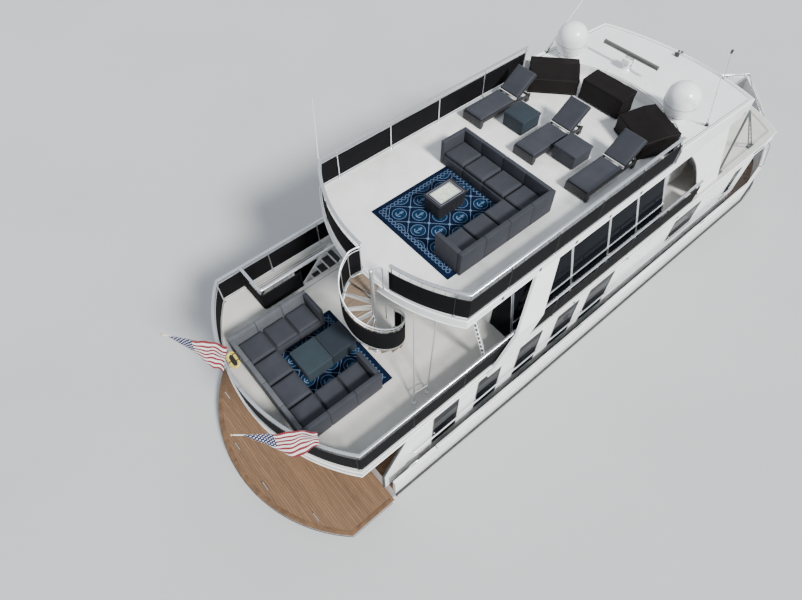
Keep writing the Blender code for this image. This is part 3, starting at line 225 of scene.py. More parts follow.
white = gelcoat("white_gelcoat")[0]
hull_finish, tree, shader, place = gelcoat("hull_gelcoat")
_, _, height = axes(tree, place)
topsides = shader.inputs["Base Color"].links[0].from_socket
boot = mixed(tree, above(tree, height, BOOT_TOP), (0.015, 0.016, 0.018), topsides)
paint = mixed(tree, above(tree, height, ANTIFOULING_TOP), (0.035, 0.055, 0.085), boot)
tree.links.new(paint, shader.inputs["Base Color"])
finish_cad("hull", hull_finish)
for name in ("bulwark", "boarding_gate_port", "boarding_gate_starboard", "main_wall_port",
             "main_wall_starboard", "main_aft_bulkhead", "main_front_wall", "deck_two",
             "side_stair", "bridge_wall_port", "bridge_wall_starboard", "bridge_aft_bulkhead",
             "pilothouse_front", "top_deck", "pilothouse_roof", "side_fin_port",
             "side_fin_starboard", "radar_array", "satellite_dome_port",
             "satellite_dome_starboard", "antenna_port", "antenna_starboard", "antenna_quarter"):
    finish_cad(name, white)


# Portlights: oval lights of dark glass in pressed steel rims, screwed to the topsides. Each rim is
# a flat oval, inset and pushed out, with its pane set inside it.
# columns: x, half width of the flared topside there, its flare in degrees
PORTLIGHTS = ((-6.4, 3.367, 12.8), (-3.9, 3.380, 12.9), (-1.4, 3.371, 14.7), (1.1, 3.362, 16.7))
PORTLIGHT_SIZE = (0.44, 0.17)
PORTLIGHT_Z = 0.70


def polished(name, colour=(0.72, 0.74, 0.76), roughness=0.22):
    """Stainless steel: bright, with fine drawn scratches and cloudier patches."""
    material, tree, shader, place = new_finish(name, colour, roughness, 0.9)
    drawn = node(tree, "Mapping", {"Vector": place, "Scale": (3.0, 3.0, 60.0)})
    tree.links.new(mottle(tree, drawn, 8.0, roughness * 0.7, roughness * 1.6),
                   shader.inputs["Roughness"])
    tint = mixed(tree, mottle(tree, place, 2.5, 0.0, 1.0), colour, tuple(c * 0.88 for c in colour))
    tree.links.new(tint, shader.inputs["Base Color"])
    return material


def dark_glass(name):
    """Tinted safety glass, almost black, with faint smears in its gloss."""
    material, tree, shader, place = new_finish(name, (0.005, 0.006, 0.008), 0.04)
    tree.links.new(mottle(tree, place, 1.7, 0.02, 0.10), shader.inputs["Roughness"])
    shader.inputs["Specular IOR Level"].default_value = 0.22
    shader.inputs["IOR"].default_value = 1.11
    return material


bright_steel = polished("bright_steel")
tinted = dark_glass("tinted_glass")


def built(shape, name, material, body="yacht", crease=38):
    """Close a bmesh into a piece with outward faces that rides on a body."""
    bmesh.ops.recalc_face_normals(shape, faces=shape.faces)
    mesh = bpy.data.meshes.new(name)
    shape.to_mesh(mesh)
    shape.free()
    mesh.shade_smooth()
    mesh.set_sharp_from_angle(angle=math.radians(crease))
    piece = bpy.data.objects.new(name, mesh)
    mesh.materials.append(material)
    bpy.context.scene.collection.objects.link(piece)
    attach(piece, body)
    return piece


def of_kind(geometry, kind):
    """The vertices, edges or faces among what an operator gives back."""
    return [item for item in geometry if isinstance(item, kind)]


def once(items):
    """Each item once, in the order they come, so that every run builds the same mesh."""
    return list(dict.fromkeys(items))


def grow(shape, faces, shift):
    """Extrude a patch of faces along a direction, which closes it into a solid."""
    made = bmesh.ops.extrude_face_region(shape, geom=faces, use_keep_orig=True)["geom"]
    bmesh.ops.translate(shape, vec=shift, verts=of_kind(made, bmesh.types.BMVert))


def flat_patch(shape, place, long, tall, corner):
    """A flat rectangle with rounded corners, centred on a place and square to its Z."""
    before = set(shape.faces)
    sized = place @ Matrix.Diagonal((long, tall, 1.0, 1.0))
    made = bmesh.ops.create_grid(shape, x_segments=1, y_segments=1, size=0.5, matrix=sized)
    if corner:
        bmesh.ops.bevel(shape, geom=made["verts"], offset=corner, offset_type="OFFSET", segments=4,
                        profile=0.5, affect="VERTICES", material=-1)
    return [face for face in shape.faces if face not in before]


def window_pane(trim, glass, place, long, tall, border, proud, corner):
    """A pane and the flat rim that laps it. The place's Z points out of the wall."""
    out = (place.to_3x3() @ Vector((0.0, 0.0, 1.0))).normalized()
    patch = flat_patch(trim, place, long, tall, corner)
    bmesh.ops.inset_region(trim, faces=patch, thickness=border, use_boundary=True,
                           use_even_offset=True)
    around = once(face for vert in patch[0].verts for face in vert.link_faces)
    ring = [face for face in around if face not in patch]
    bmesh.ops.delete(trim, geom=patch, context="FACES_ONLY")
    grow(trim, ring, out * proud)
    pane = flat_patch(glass, place, long - border, tall - border, max(0.0, corner - border / 2))
    grow(glass, pane, out * proud * 0.6)


def facing(x, y, z, turn_x, turn_z=0.0):
    """A place whose Z is tilted about X and then turned about the upright."""
    return (Matrix.Translation((x, y, z)) @ Matrix.Rotation(turn_z, 4, "Z")
            @ Matrix.Rotation(turn_x, 4, "X"))


rims, panes = bmesh.new(), bmesh.new()
for side in (1, -1):
    for x, y, flare in PORTLIGHTS:
        out = facing(x, side * y, PORTLIGHT_Z, side * -(math.pi / 2 + math.radians(flare)))
        window_pane(rims, panes, out, *PORTLIGHT_SIZE, 0.022, 0.012, corner=0.08)
built(rims, "portlight_rims", bright_steel)
built(panes, "portlight_panes", tinted)


# Decks: moulded slabs with a sanded, faintly stained walking surface, a round bead on the edge
# and two dark lines round their sides, painted shade of grooves and a rub strip. Teak is laid aft
# and on the foredeck.
DECK_TWO = 3.67
TOP_DECK = 6.09
TWO_EDGE = (3.12, -10.42, -11.54)       # half width, x of the corner and of the middle aft
TOP_EDGE = (2.72, -7.04, -7.93)
PLATFORM = (3.36, -11.15, -12.60, 0.44) # the same, and its top
TEAK_FORE = (6.45, 9.1)                 # ends of the laid teak in x
TEAK_AFT = -6.85
MAIN_DECK = 1.25


def rubber(name, colour=(0.018, 0.018, 0.019), roughness=0.55):
    """Black rubber with a grey bloom and scuffs."""
    material, tree, shader, place = new_finish(name, colour, roughness)
    scuffed = mixed(tree, mottle(tree, place, 9.0, 0.0, 1.0), colour,
                    tuple(c * 2.4 for c in colour))
    tree.links.new(scuffed, shader.inputs["Base Color"])
    bumped(tree, shader, node(tree, "TexNoise", {"Vector": place, "Scale": 220.0}), 0.0008)
    return material


black_rubber = rubber("black_rubber")


def arc(corner_x, half, middle_x, start, end, steps=18):
    """Points of the arc through (corner_x, +-half) and (middle_x, 0).

    Start and end are shares of its half width, 1 at port and -1 at starboard."""
    sag = abs(middle_x - corner_x)
    radius = (half * half + sag * sag) / (2 * sag)
    sense = 1 if middle_x > corner_x else -1
    turns = [math.asin(share * half / radius) for share in (start, end)]
    points = []
    for k in range(steps + 1):
        turn = turns[0] + (turns[1] - turns[0]) * k / steps
        points.append((middle_x + sense * radius * (math.cos(turn) - 1), radius * math.sin(turn)))
    return points


def offset(line, distance):
    """A line in plan moved to the left of its direction, with mitred corners."""
    moved = []
    for k, here in enumerate(line):
        here = Vector(here)
        before = (here - Vector(line[k - 1])).normalized() if k else None
        after = (Vector(line[k + 1]) - here).normalized() if k < len(line) - 1 else None
        before, after = before or after, after or before
        left = Vector((-before.y - after.y, before.x + after.x)).normalized()
        share = left.dot(Vector((-before.y, before.x)))
        moved.append(tuple(here + left * distance / max(share, 0.35)))
    return moved


def lifted(line, z):
    """A line in plan at a height."""
    return [(point[0], point[1], z) for point in line]


def next_row(shape, edges, move):
    """Extrude a row of edges, move the new row and give its edges back."""
    made = bmesh.ops.extrude_edge_only(shape, edges=edges)["geom"]
    verts = set(of_kind(made, bmesh.types.BMVert))
    bmesh.ops.transform(shape, matrix=move, verts=list(verts))
    return [edge for edge in of_kind(made, bmesh.types.BMEdge) if verts.issuperset(edge.verts)]


def bar(shape, line, radius, flat=1.0, sides=8):
    """Sweep a ring along a line of points and cap its ends. Flat squashes its height."""
    points = [Vector(point) for point in line]
    ways = [(after - here).normalized() for here, after in zip(points, points[1:])]
    across = ways[0].cross(Vector((0.0, 0.0, 1.0)))
    if across.length < 0.05:
        across = Vector((1.0, 0.0, 0.0)) - ways[0] * ways[0].x
    across.normalize()
    places, before = [], ways[0]
    for k, point in enumerate(points):
        way = (ways[max(k - 1, 0)] + ways[min(k, len(ways) - 1)]).normalized()
        across = before.rotation_difference(way) @ across
        before = way
        turn = Matrix((across, across.cross(way), way)).transposed().to_4x4()
        places.append(Matrix.Translation(point) @ turn)
    thin = Matrix.Diagonal((1.0, flat, 1.0, 1.0))
    ring = bmesh.ops.create_circle(shape, segments=sides, radius=radius, matrix=places[0] @ thin)
    first = edges = once(edge for vert in ring["verts"] for edge in vert.link_edges)
    for here, after in zip(places, places[1:]):
        edges = next_row(shape, edges, after @ here.inverted())
    for end in (first, edges):
        bmesh.ops.edgeloop_fill(shape, edges=end)


def block(shape, low, high, soft=0.0, steps=2, place=None):
    """A box between two corners with rounded edges, put in its place."""
    before = set(shape.verts)
    low, high = Vector(low), Vector(high)
    sized = Matrix.Translation((low + high) / 2) @ Matrix.Diagonal((*(high - low), 1.0))
    verts = bmesh.ops.create_cube(shape, size=1.0, matrix=sized)["verts"]
    if soft:
        edges = once(edge for vert in verts for edge in vert.link_edges)
        bmesh.ops.bevel(shape, geom=edges, offset=soft, offset_type="OFFSET", segments=steps,
                        profile=0.5, affect="EDGES", clamp_overlap=True, material=-1)
    if place:
        bmesh.ops.transform(shape, matrix=place, verts=[v for v in shape.verts if v not in before])


def calc(tree, operation, first, second=0.0):
    """One step of arithmetic on one or two values."""
    return node(tree, "Math", {0: first, 1: second}, operation=operation)


def within(tree, value, centre, half):
    """1 where the value lies within half of the centre."""
    away = calc(tree, "ABSOLUTE", calc(tree, "SUBTRACT", value, centre))
    return calc(tree, "LESS_THAN", away, half)


def every(tree, masks, operation="MULTIPLY"):
    """All of the masks together, or with MAXIMUM any of them."""
    result = masks[0]
    for mask in masks[1:]:
        result = calc(tree, operation, result, mask)
    return result


def board(name, colour, grain=(1.5, 22.0, 22.0)):
    """Oiled hardwood board with long grain."""
    material, tree, shader, place = new_finish(name, colour, 0.5)
    stretched = node(tree, "Mapping", {"Vector": place, "Scale": grain})
    streaks = mottle(tree, stretched, 2.0, 0.0, 1.0, 6.0)
    tint = mixed(tree, streaks, tuple(c * 0.65 for c in colour),
                 tuple(min(1.0, c * 1.3) for c in colour))
    tree.links.new(tint, shader.inputs["Base Color"])
    bumped(tree, shader, streaks, 0.0008)
    return material


caulk = rubber("dark_caulk", (0.022, 0.023, 0.025), 0.6)


def deck_finish(name, tread, stain, top, lines):
    """Gelcoat with a sanded tread colour on top and dark lines round its sides, painted shade of
    grooves and a rub strip.
    """
    material, tree, shader, place = gelcoat(name)
    _, _, z = axes(tree, place)
    side = shader.inputs["Base Color"].links[0].from_socket
    # Each dark line is painted shade of a groove and rub strip round the side.
    for height in lines:
        side = mixed(tree, within(tree, z, height, 0.015), side, (0.030, 0.032, 0.038))
    patches = calc(tree, "MULTIPLY", mottle(tree, place, 0.55, 0.0, 1.0, 8.0),
                   mottle(tree, place, 2.7, 0.2, 1.0, 6.0))
    floor = mixed(tree, patches, tread, stain)
    specks = node(tree, "TexNoise", {"Vector": place, "Scale": 420.0, "Detail": 1.0})
    on_top = above(tree, z, top - 0.003, 0.001)
    tree.links.new(mixed(tree, on_top, side, floor), shader.inputs["Base Color"])
    tree.links.new(node(tree, "MapRange", {"Value": on_top, "To Min": 0.3, "To Max": 0.72}),
                   shader.inputs["Roughness"])
    bumped(tree, shader, calc(tree, "MULTIPLY", specks, on_top), 0.0015, 0.5)
    return material


def planked(tree, place, across, pitch, colour, grain):
    """Laid teak: planks with black caulking between, each its own shade."""
    share = calc(tree, "FRACT", calc(tree, "DIVIDE", across, pitch))
    number = calc(tree, "FLOOR", calc(tree, "DIVIDE", across, pitch))
    shade = node(tree, "TexWhiteNoise", {"W": number}, noise_dimensions="1D")
    stretched = node(tree, "Mapping", {"Vector": place, "Scale": grain})
    streaks = calc(tree, "MULTIPLY", mottle(tree, stretched, 3.0, 0.0, 1.0, 6.0), 0.6)
    tone = calc(tree, "ADD", streaks, calc(tree, "MULTIPLY", shade, 0.4))
    wood = mixed(tree, tone, tuple(c * 0.62 for c in colour), tuple(c * 1.30 for c in colour))
    return mixed(tree, within(tree, share, 0.5, 0.46), (0.012, 0.011, 0.010), wood)


top_finish = deck_finish("top_deck_gelcoat", (0.84, 0.84, 0.83), (0.62, 0.61, 0.59), TOP_DECK, ())
# Deck two's tread and stain are a darker copy of the top deck's: painted shade under the deck above
# it.
two_finish = deck_finish("deck_two_gelcoat", (0.60, 0.59, 0.56), (0.47, 0.46, 0.43), DECK_TWO,
                         (3.605, 3.515))
finish_cad("top_deck", top_finish)
finish_cad("deck_two", two_finish)

tree = hull_finish.node_tree
place = tree.nodes["Texture Coordinate"].outputs["Object"]
shader = tree.nodes["Principled BSDF"]
x, y, z = axes(tree, place)
teak = planked(tree, place, y, 0.062, (0.150, 0.078, 0.036), (1.0, 14.0, 14.0))
# Off the teak the main deck is near-black: grey non-skid darkened with painted shade for the shaded
# side decks.
nonskid_and_painted_shade = mixed(tree, mottle(tree, place, 140.0, 0.0, 1.0), (0.018, 0.019, 0.021),
                (0.045, 0.047, 0.050))
fore = every(tree, [calc(tree, "GREATER_THAN", x, TEAK_FORE[0]),
                    calc(tree, "LESS_THAN", x, TEAK_FORE[1])])
laid = every(tree, [fore, calc(tree, "LESS_THAN", x, TEAK_AFT)], "MAXIMUM")
walk = mixed(tree, laid, nonskid_and_painted_shade, teak)
skin = shader.inputs["Base Color"].links[0].from_socket
tree.links.new(mixed(tree, above(tree, z, MAIN_DECK - 0.008, 0.001), skin, walk),
               shader.inputs["Base Color"])

beads_shape, joints = bmesh.new(), bmesh.new()
half, corner, middle = TOP_EDGE
edge = [(0.58, half)] + arc(corner, half, middle, 1.0, -1.0, 30) + [(0.58, -half)]
bar(beads_shape, lifted(offset(edge, 0.012), TOP_DECK - 0.012), 0.026, 1.0, 10)
bar(beads_shape, lifted(offset(edge, 0.004), TOP_DECK - 0.262), 0.016, 1.0, 8)
bar(joints, lifted(offset(edge, 0.050), TOP_DECK + 0.001), 0.006, 0.5, 6)
half, corner, middle = TWO_EDGE
edge = ([(7.68, 3.06), (6.9, 3.12)] + arc(corner, half, middle, 1.0, -1.0, 30)
        + [(6.9, -3.12), (7.68, -3.06)])
bar(beads_shape, lifted(offset(edge, 0.012), DECK_TWO - 0.012), 0.024, 1.0, 10)
bar(beads_shape, lifted(offset(edge, 0.004), DECK_TWO - 0.262), 0.014, 1.0, 8)
nose = arc(7.70, 3.06, 8.62, -1.0, 1.0, 22)
bar(beads_shape, lifted(offset(nose, 0.012), DECK_TWO - 0.012), 0.024, 1.0, 10)
fore_edge = [(4.35, -2.90)] + arc(7.50, 2.86, 8.38, -1.0, 1.0, 22) + [(4.35, 2.90)]
bar(joints, lifted(fore_edge, DECK_TWO + 0.001), 0.010, 0.3, 6)
bar(joints, lifted(offset(fore_edge, 0.055), DECK_TWO + 0.001), 0.005, 0.4, 6)
for x in (-3.0, -0.6, 1.9):
    for side in (-1, 1):
        place = Matrix.Translation((x, side * 3.128, DECK_TWO - 0.20))
        block(joints, (-0.035, -0.012, -0.02), (0.035, 0.012, 0.02), 0.006, 2, place)
for line in (((-9.72, 1.93), (-6.82, 1.93)), ((-6.83, 2.02), (-6.83, 2.98)),
             ((-6.74, 2.02), (-6.74, 2.98))):
    bar(joints, lifted(line, DECK_TWO + 0.002), 0.008, 0.4, 6)
built(beads_shape, "deck_edge_beads", white)
built(joints, "deck_joints", caulk)

platform_teak, tree, shader, place = new_finish("platform_teak", (0.3, 0.17, 0.09), 0.6)
x, y, z = axes(tree, place)
wood = planked(tree, place, x, 0.070, (0.165, 0.092, 0.046), (14.0, 1.0, 14.0))
rim = mixed(tree, mottle(tree, place, 3.0, 0.0, 1.0), (0.70, 0.70, 0.69), (0.60, 0.60, 0.59))
tree.links.new(mixed(tree, above(tree, z, PLATFORM[3] - 0.004, 0.001), rim, wood),
               shader.inputs["Base Color"])
bumped(tree, shader, mottle(tree, place, 60.0, 0.0, 1.0), 0.0008)
finish_cad("swim_platform", platform_teak)
margin, fender = bmesh.new(), bmesh.new()
half, corner, middle, top = PLATFORM
edge = [(-9.78, half)] + arc(corner, half, middle, 1.0, -1.0, 30) + [(-9.78, -half)]
bar(margin, lifted(offset(edge, 0.075), top + 0.002), 0.065, 0.06, 8)
bar(fender, lifted(offset(edge, 0.012), top - 0.06), 0.030, 0.9, 10)
horns = bmesh.new()
for x, y in (-11.62, -2.35), (-12.22, -0.75), (-12.22, 0.75), (-11.62, 2.35):
    for shift in (-0.05, 0.05):
        bar(horns, [(x, y + shift, top + 0.001), (x, y + shift, top + 0.05)], 0.012, sides=10)
    bar(horns, [(x, y - 0.14, top + 0.055), (x, y + 0.14, top + 0.055)], 0.014, sides=10)
built(horns, "platform_cleats", bright_steel)
built(margin, "platform_margin", board("teak_margin", (0.125, 0.068, 0.033), (3.0, 3.0, 14.0)))
built(fender, "platform_fender", black_rubber)


# Running gear and engine space: cast bronze propellers and rudders gone dull with use, grey
# painted engines on their bed, and a ribbed sole hatch with two flush ring pulls over them.


def seam(shape, radius, place, thick, steps=48):
    """A thin ring round an upright."""
    ring = [(place[0] + radius * math.cos(k * math.tau / steps),
             place[1] + radius * math.sin(k * math.tau / steps),
             place[2]) for k in range(steps + 1)]
    bar(shape, ring, thick, sides=6)


cast_bronze, tree, shader, place = new_finish("cast_bronze", (0.45, 0.30, 0.14), 0.4, 0.85)
dull = mixed(tree, mottle(tree, place, 7.0, 0.0, 1.0, 8.0), (0.45, 0.30, 0.14), (0.20, 0.22, 0.15))
tree.links.new(dull, shader.inputs["Base Color"])
tree.links.new(mottle(tree, place, 12.0, 0.28, 0.62), shader.inputs["Roughness"])
engine_paint, tree, shader, place = new_finish("engine_paint", (0.20, 0.215, 0.225), 0.45)
oily = mixed(tree, mottle(tree, place, 3.0, 0.0, 1.0, 8.0), (0.22, 0.235, 0.245),
             (0.12, 0.125, 0.125))
tree.links.new(oily, shader.inputs["Base Color"])
bumped(tree, shader, mottle(tree, place, 40.0, 0.0, 1.0), 0.0008)
hatch_finish, tree, shader, place = new_finish("hatch_nonskid", (0.35, 0.345, 0.33), 0.7)
speck = mixed(tree, mottle(tree, place, 140.0, 0.0, 1.0), (0.30, 0.295, 0.28), (0.42, 0.415, 0.40))
tree.links.new(speck, shader.inputs["Base Color"])
ribs = node(tree, "TexWave", {"Vector": place, "Scale": 12.0}, bands_direction="X")
bumped(tree, shader, ribs, 0.002)
for name in ("propeller_port", "propeller_starboard", "rudder_port", "rudder_starboard"):
    finish_cad(name, cast_bronze)
finish_cad("engines_on_bed", engine_paint)
finish_cad("saloon_sole_hatch", hatch_finish)
rings = bmesh.new()
for y in (-0.9, 0.9):
    seam(rings, 0.045, (-2.95, y, MAIN_DECK + 0.004), 0.005, 20)
built(rings, "hatch_rings", bright_steel)


# Bulwark: white mouldings with a broad rounded cap, bonded to the deck's edge. A steel rail on
# posts over the bow and cleats are bolted to the cap, and a half round of steel faces the black
# rubber rub rail.
BOW_POSTS = ((8.1, 3.231, 1.980), (9.1, 2.907, 2.020), (10.1, 2.243, 2.063), (11.0, 1.360, 2.104),
             (11.8, 0.552, 2.142))
BOW_TIP = (12.53, 0.0, 2.18)
BOW_RAIL_TALL = 0.10
BULWARK_TOP = 1.93
CLEATS = ((-9.0, 3.30), (-2.5, 3.38), (4.0, 3.38), (9.6, 2.55))


def cleat(shape, x, y, z, turn=0.0):
    """A two-horned cleat on two stubs."""
    place = Matrix.Translation((x, y, z)) @ Matrix.Rotation(turn, 4, "Z")
    for shift in (-0.045, 0.045):
        bar(shape, [place @ Vector((shift, 0, 0.0)), place @ Vector((shift, 0, 0.05))], 0.014,
            sides=10)
    horn = [(-0.15, 0, 0.062), (-0.08, 0, 0.05), (0.0, 0, 0.048), (0.08, 0, 0.05),
            (0.15, 0, 0.062)]
    bar(shape, [place @ Vector(spot) for spot in horn], 0.014, sides=10)
    block(shape, (-0.09, -0.03, 0.0), (0.09, 0.03, 0.012), 0.005, 2, place)


steel, guard = bmesh.new(), bmesh.new()
posts = [Vector(spot) for spot in BOW_POSTS]
line = posts + [Vector(BOW_TIP)] + [Vector((spot.x, -spot.y, spot.z)) for spot in reversed(posts)]
bar(steel, [spot + Vector((0, 0, BOW_RAIL_TALL)) for spot in line], 0.026, sides=12)
for spot in posts:
    for side in (-1, 1):
        foot = Vector((spot.x, side * spot.y, spot.z - 0.004))
        bar(steel, [foot, foot + Vector((0, 0, BOW_RAIL_TALL))], 0.020, sides=10)
        bar(steel, [foot, foot + Vector((0, 0, 0.012))], 0.042, sides=14)
for x, y in CLEATS:
    for side in (-1, 1):
        rise = 0.20 * (max(0.0, x - 7.0) / 5.6) ** 1.2
        cleat(steel, x, side * y, BULWARK_TOP + rise, side * -0.62 if x > 7 else 0.0)


def half_beam(x):
    """Half the breadth at the rail: full amidships, drawn in over the bow."""
    if x <= 7.0:
        return 3.44 - 0.05 * max(0.0, (-5.0 - x) / 5.0)
    return 0.02 + 3.42 * (1 - ((x - 7.0) / 5.6) ** 1.8)


stations = ([-9.68, -8.0, -5.0, 0.0, 5.0, 7.0] + [7.0 + 0.3 * k for k in range(1, 18)]
            + [12.3, 12.5])
for side in (-1, 1):
    strip = [(x, side * (half_beam(x) + 0.066), 1.085) for x in stations]
    bar(steel, strip, 0.014, 1.9, 8)
    cap = [(x, side * (half_beam(x) - 0.06), BULWARK_TOP) for x in (-8.2, -5.0, 0.0, 5.0, 6.9)]
    bar(guard, cap, 0.058, 0.30, 10)
built(steel, "bulwark_steel", bright_steel)
built(guard, "bulwark_cap", white)
finish_cad("rub_rail", black_rubber)


# Windlass: a steel warping drum and a chain wheel, bolted through one base plate on the centreline.
# The painted chain runs forward from it over the stem. A cleat and a hatch plate lie each side.
# columns: radius and height of each turned profile
DRUM = ((0.0, 0.34), (0.07, 0.34), (0.10, 0.31), (0.065, 0.25), (0.065, 0.17), (0.12, 0.12),
        (0.14, 0.0))
CHAIN_WHEEL = ((0.0, 0.14), (0.085, 0.14), (0.105, 0.11), (0.075, 0.08), (0.105, 0.05),
               (0.11, 0.0))
CHAIN_LINKS = 30
LINK_PITCH = 0.055

black_paint = rubber("black_paint", (0.015, 0.015, 0.016), 0.35)


def turned(shape, profile, place, steps=48):
    """A solid turned about its upright from a profile of radius and height."""
    before = set(shape.verts)
    verts = [shape.verts.new((radius, 0.0, z)) for radius, z in profile]
    edges = [shape.edges.new(pair) for pair in zip(verts, verts[1:])]
    bmesh.ops.spin(shape, geom=verts + edges, cent=(0, 0, 0), axis=(0, 0, 1), angle=math.tau,
                   steps=steps, use_merge=True)
    new = [vert for vert in shape.verts if vert not in before]
    bmesh.ops.remove_doubles(shape, verts=new, dist=0.0001)
    new = [vert for vert in shape.verts if vert not in before]
    bmesh.ops.transform(shape, matrix=Matrix.Translation(place), verts=new)


gear, iron = bmesh.new(), bmesh.new()
block(gear, (9.95, -0.16, MAIN_DECK + 0.001), (10.45, 0.16, MAIN_DECK + 0.035), 0.01)
turned(gear, DRUM, (10.12, 0.0, MAIN_DECK + 0.03), 32)
turned(iron, CHAIN_WHEEL, (10.34, 0.0, MAIN_DECK + 0.035), 32)
for k in range(CHAIN_LINKS):
    x = 10.46 + LINK_PITCH * k
    flat = 1.0 if k % 2 else 0.35
    block(iron, (-0.036, -0.022 * flat, -0.018 * (1.35 - flat)),
          (0.036, 0.022 * flat, 0.018 * (1.35 - flat)), 0.006, 2,
          Matrix.Translation((x, 0.0, MAIN_DECK + 0.075 + 0.006 * max(0, k - 20) ** 1.4)))
for side in (-1, 1):
    cleat(gear, 10.2, side * 0.95, MAIN_DECK + 0.001)
    block(gear, (-0.15, -0.15, 0), (0.15, 0.15, 0.015), 0.03, 3,
          Matrix.Translation((9.4, side * 0.9, MAIN_DECK + 0.001)))
built(gear, "windlass", bright_steel)
built(iron, "anchor_chain", black_paint)


# Windows: dark tinted glass in black rubber gaskets, glued to the outside of the openings. A satin
# steel grab rail on stubs is screwed along each side of the house, across the windows.
HOUSE_HALF = 3.12
SIDE_WINDOWS = ((-8.20, -7.36), (-6.66, -5.82), (-5.12, -4.25), (-3.60, -2.72), (-2.22, -1.12))
FORE_WINDOWS = ((1.98, 3.38, 2.28), (5.42, 5.80, 1.92))
SIDE_WINDOW_Z = (1.74, 3.34)            # the panes lap well over the holes in the wall
FORE_WINDOW_HEAD = 3.22
GRAB_RAIL = (2.36, -8.95, 5.90, 0.023)  # height, ends and radius
BRIDGE_HALF = 2.15
BRIDGE_WINDOWS = ((-5.1, -3.3), (-3.15, -1.35), (-1.2, 0.6), (0.75, 2.3))
WINDSCREEN = (4.12, 3.75, 3.67, 5.81)   # x at the base and the head, z of each
FRONT_LIGHTS = (6.08, 2.585, 1.2, 1.07) # x, height of the middle, width and height
AFT_LIGHTS = ((-6.85, -1.875, 2.05, 3.27, 1.45), (-6.839, 0.51, 1.35, 3.27, 0.90),
              (-5.389, 0.51, 3.77, 5.62, 0.90))     # x, y, sill, head and width
GASKET = 0.035


def spaced(line, pitch, count=0):
    """Points along a line, evenly spaced at about the pitch, ends included."""
    points = [Vector(point) for point in line]
    legs = [(after - here).length for here, after in zip(points, points[1:])]
    count = count or max(1, round(sum(legs) / pitch))
    places = []
    for k in range(count + 1):
        left = sum(legs) * k / count
        for here, after, leg in zip(points, points[1:], legs):
            if left <= leg + 1e-6:
                break
            left -= leg
        places.append(here.lerp(after, min(1.0, left / leg)))
    return places


def rounded(line, radius, steps=5):
    """A line with each inner corner turned into a curve."""
    points = [Vector(point) for point in line]
    done = [points[0]]
    for before, here, after in zip(points, points[1:], points[2:]):
        reach = min(radius, (before - here).length * 0.49, (after - here).length * 0.49)
        start = here + (before - here).normalized() * reach
        end = here + (after - here).normalized() * reach
        for k in range(steps + 1):
            t = k / steps
            done.append(start * (1 - t) ** 2 + here * 2 * t * (1 - t) + end * t * t)
    return done + [points[-1]]


pale_steel = polished("pale_steel", (0.78, 0.79, 0.80), 0.34)

gaskets, glass, grabs = bmesh.new(), bmesh.new(), bmesh.new()


def glaze(place, long, tall, corner=0.05):
    """One window in its gasket, a little larger than its opening."""
    window_pane(gaskets, glass, place, long + GASKET, tall + GASKET, GASKET, 0.009, corner)


for side in (1, -1):
    turn = side * -math.pi / 2
    openings = [(a, b, *SIDE_WINDOW_Z) for a, b in SIDE_WINDOWS]
    openings += [(a, b, sill, FORE_WINDOW_HEAD) for a, b, sill in FORE_WINDOWS]
    for a, b, sill, head in openings:
        glaze(facing((a + b) / 2, side * HOUSE_HALF, (sill + head) / 2, turn), b - a, head - sill)
    for a, b in BRIDGE_WINDOWS:
        glaze(facing((a + b) / 2, side * BRIDGE_HALF, DECK_TWO + 1.375, turn), b - a, 1.15)
    z, first, last, radius = GRAB_RAIL
    wall, rail = side * HOUSE_HALF, side * (HOUSE_HALF + 0.075)
    run = [(first, wall + side * 0.004, z), (first + 0.08, rail, z), (last - 0.08, rail, z),
           (last, wall + side * 0.004, z)]
    bar(grabs, rounded(run, 0.05), radius, sides=10)
    for spot in spaced([(first + 0.8, 0, 0), (last - 0.8, 0, 0)], 1.45):
        bar(grabs, [(spot.x, wall + side * 0.002, z), (spot.x, rail, z)], 0.012, sides=8)
        bar(grabs, [(spot.x, wall + side * 0.001, z), (spot.x, wall + side * 0.010, z)], 0.032,
            sides=14)
base_x, head_x, base_z, head_z = WINDSCREEN
rake = math.atan2(base_x - head_x, head_z - base_z)
for y in (-1.62, 0.0, 1.62):
    z = DECK_TWO + 1.425
    x = base_x - (base_x - head_x) * (z - base_z) / (head_z - base_z)
    place = (Matrix.Translation((x + 0.004, y, z)) @ Matrix.Rotation(math.pi / 2 - rake, 4, "Y")
             @ Matrix.Rotation(math.pi / 2, 4, "Z"))
    glaze(place, 1.44, 0.97, 0.08)
x, z, wide, tall = FRONT_LIGHTS
for y in (-1.9, -0.35, 1.2):
    glaze(facing(x, y, z, math.pi / 2, math.pi / 2), wide, tall)
# The lights that a sliding door passes stand 2 mm back in their holes.
for x, y, low, high, wide in AFT_LIGHTS:
    glaze(facing(x, y, (low + high) / 2, math.pi / 2, -math.pi / 2), wide, high - low)
built(gaskets, "window_gaskets", black_rubber)
built(glass, "window_glass", tinted)
built(grabs, "side_grab_rails", pale_steel)


# Sliding doors: a polished frame round one dark pane, with a lever pull. Each rides with its
# door along the bulkhead.
DOORS = (("saloon_door", -6.901, 1.256, 3.31), ("bridge_door", -5.451, 3.676, 5.66))

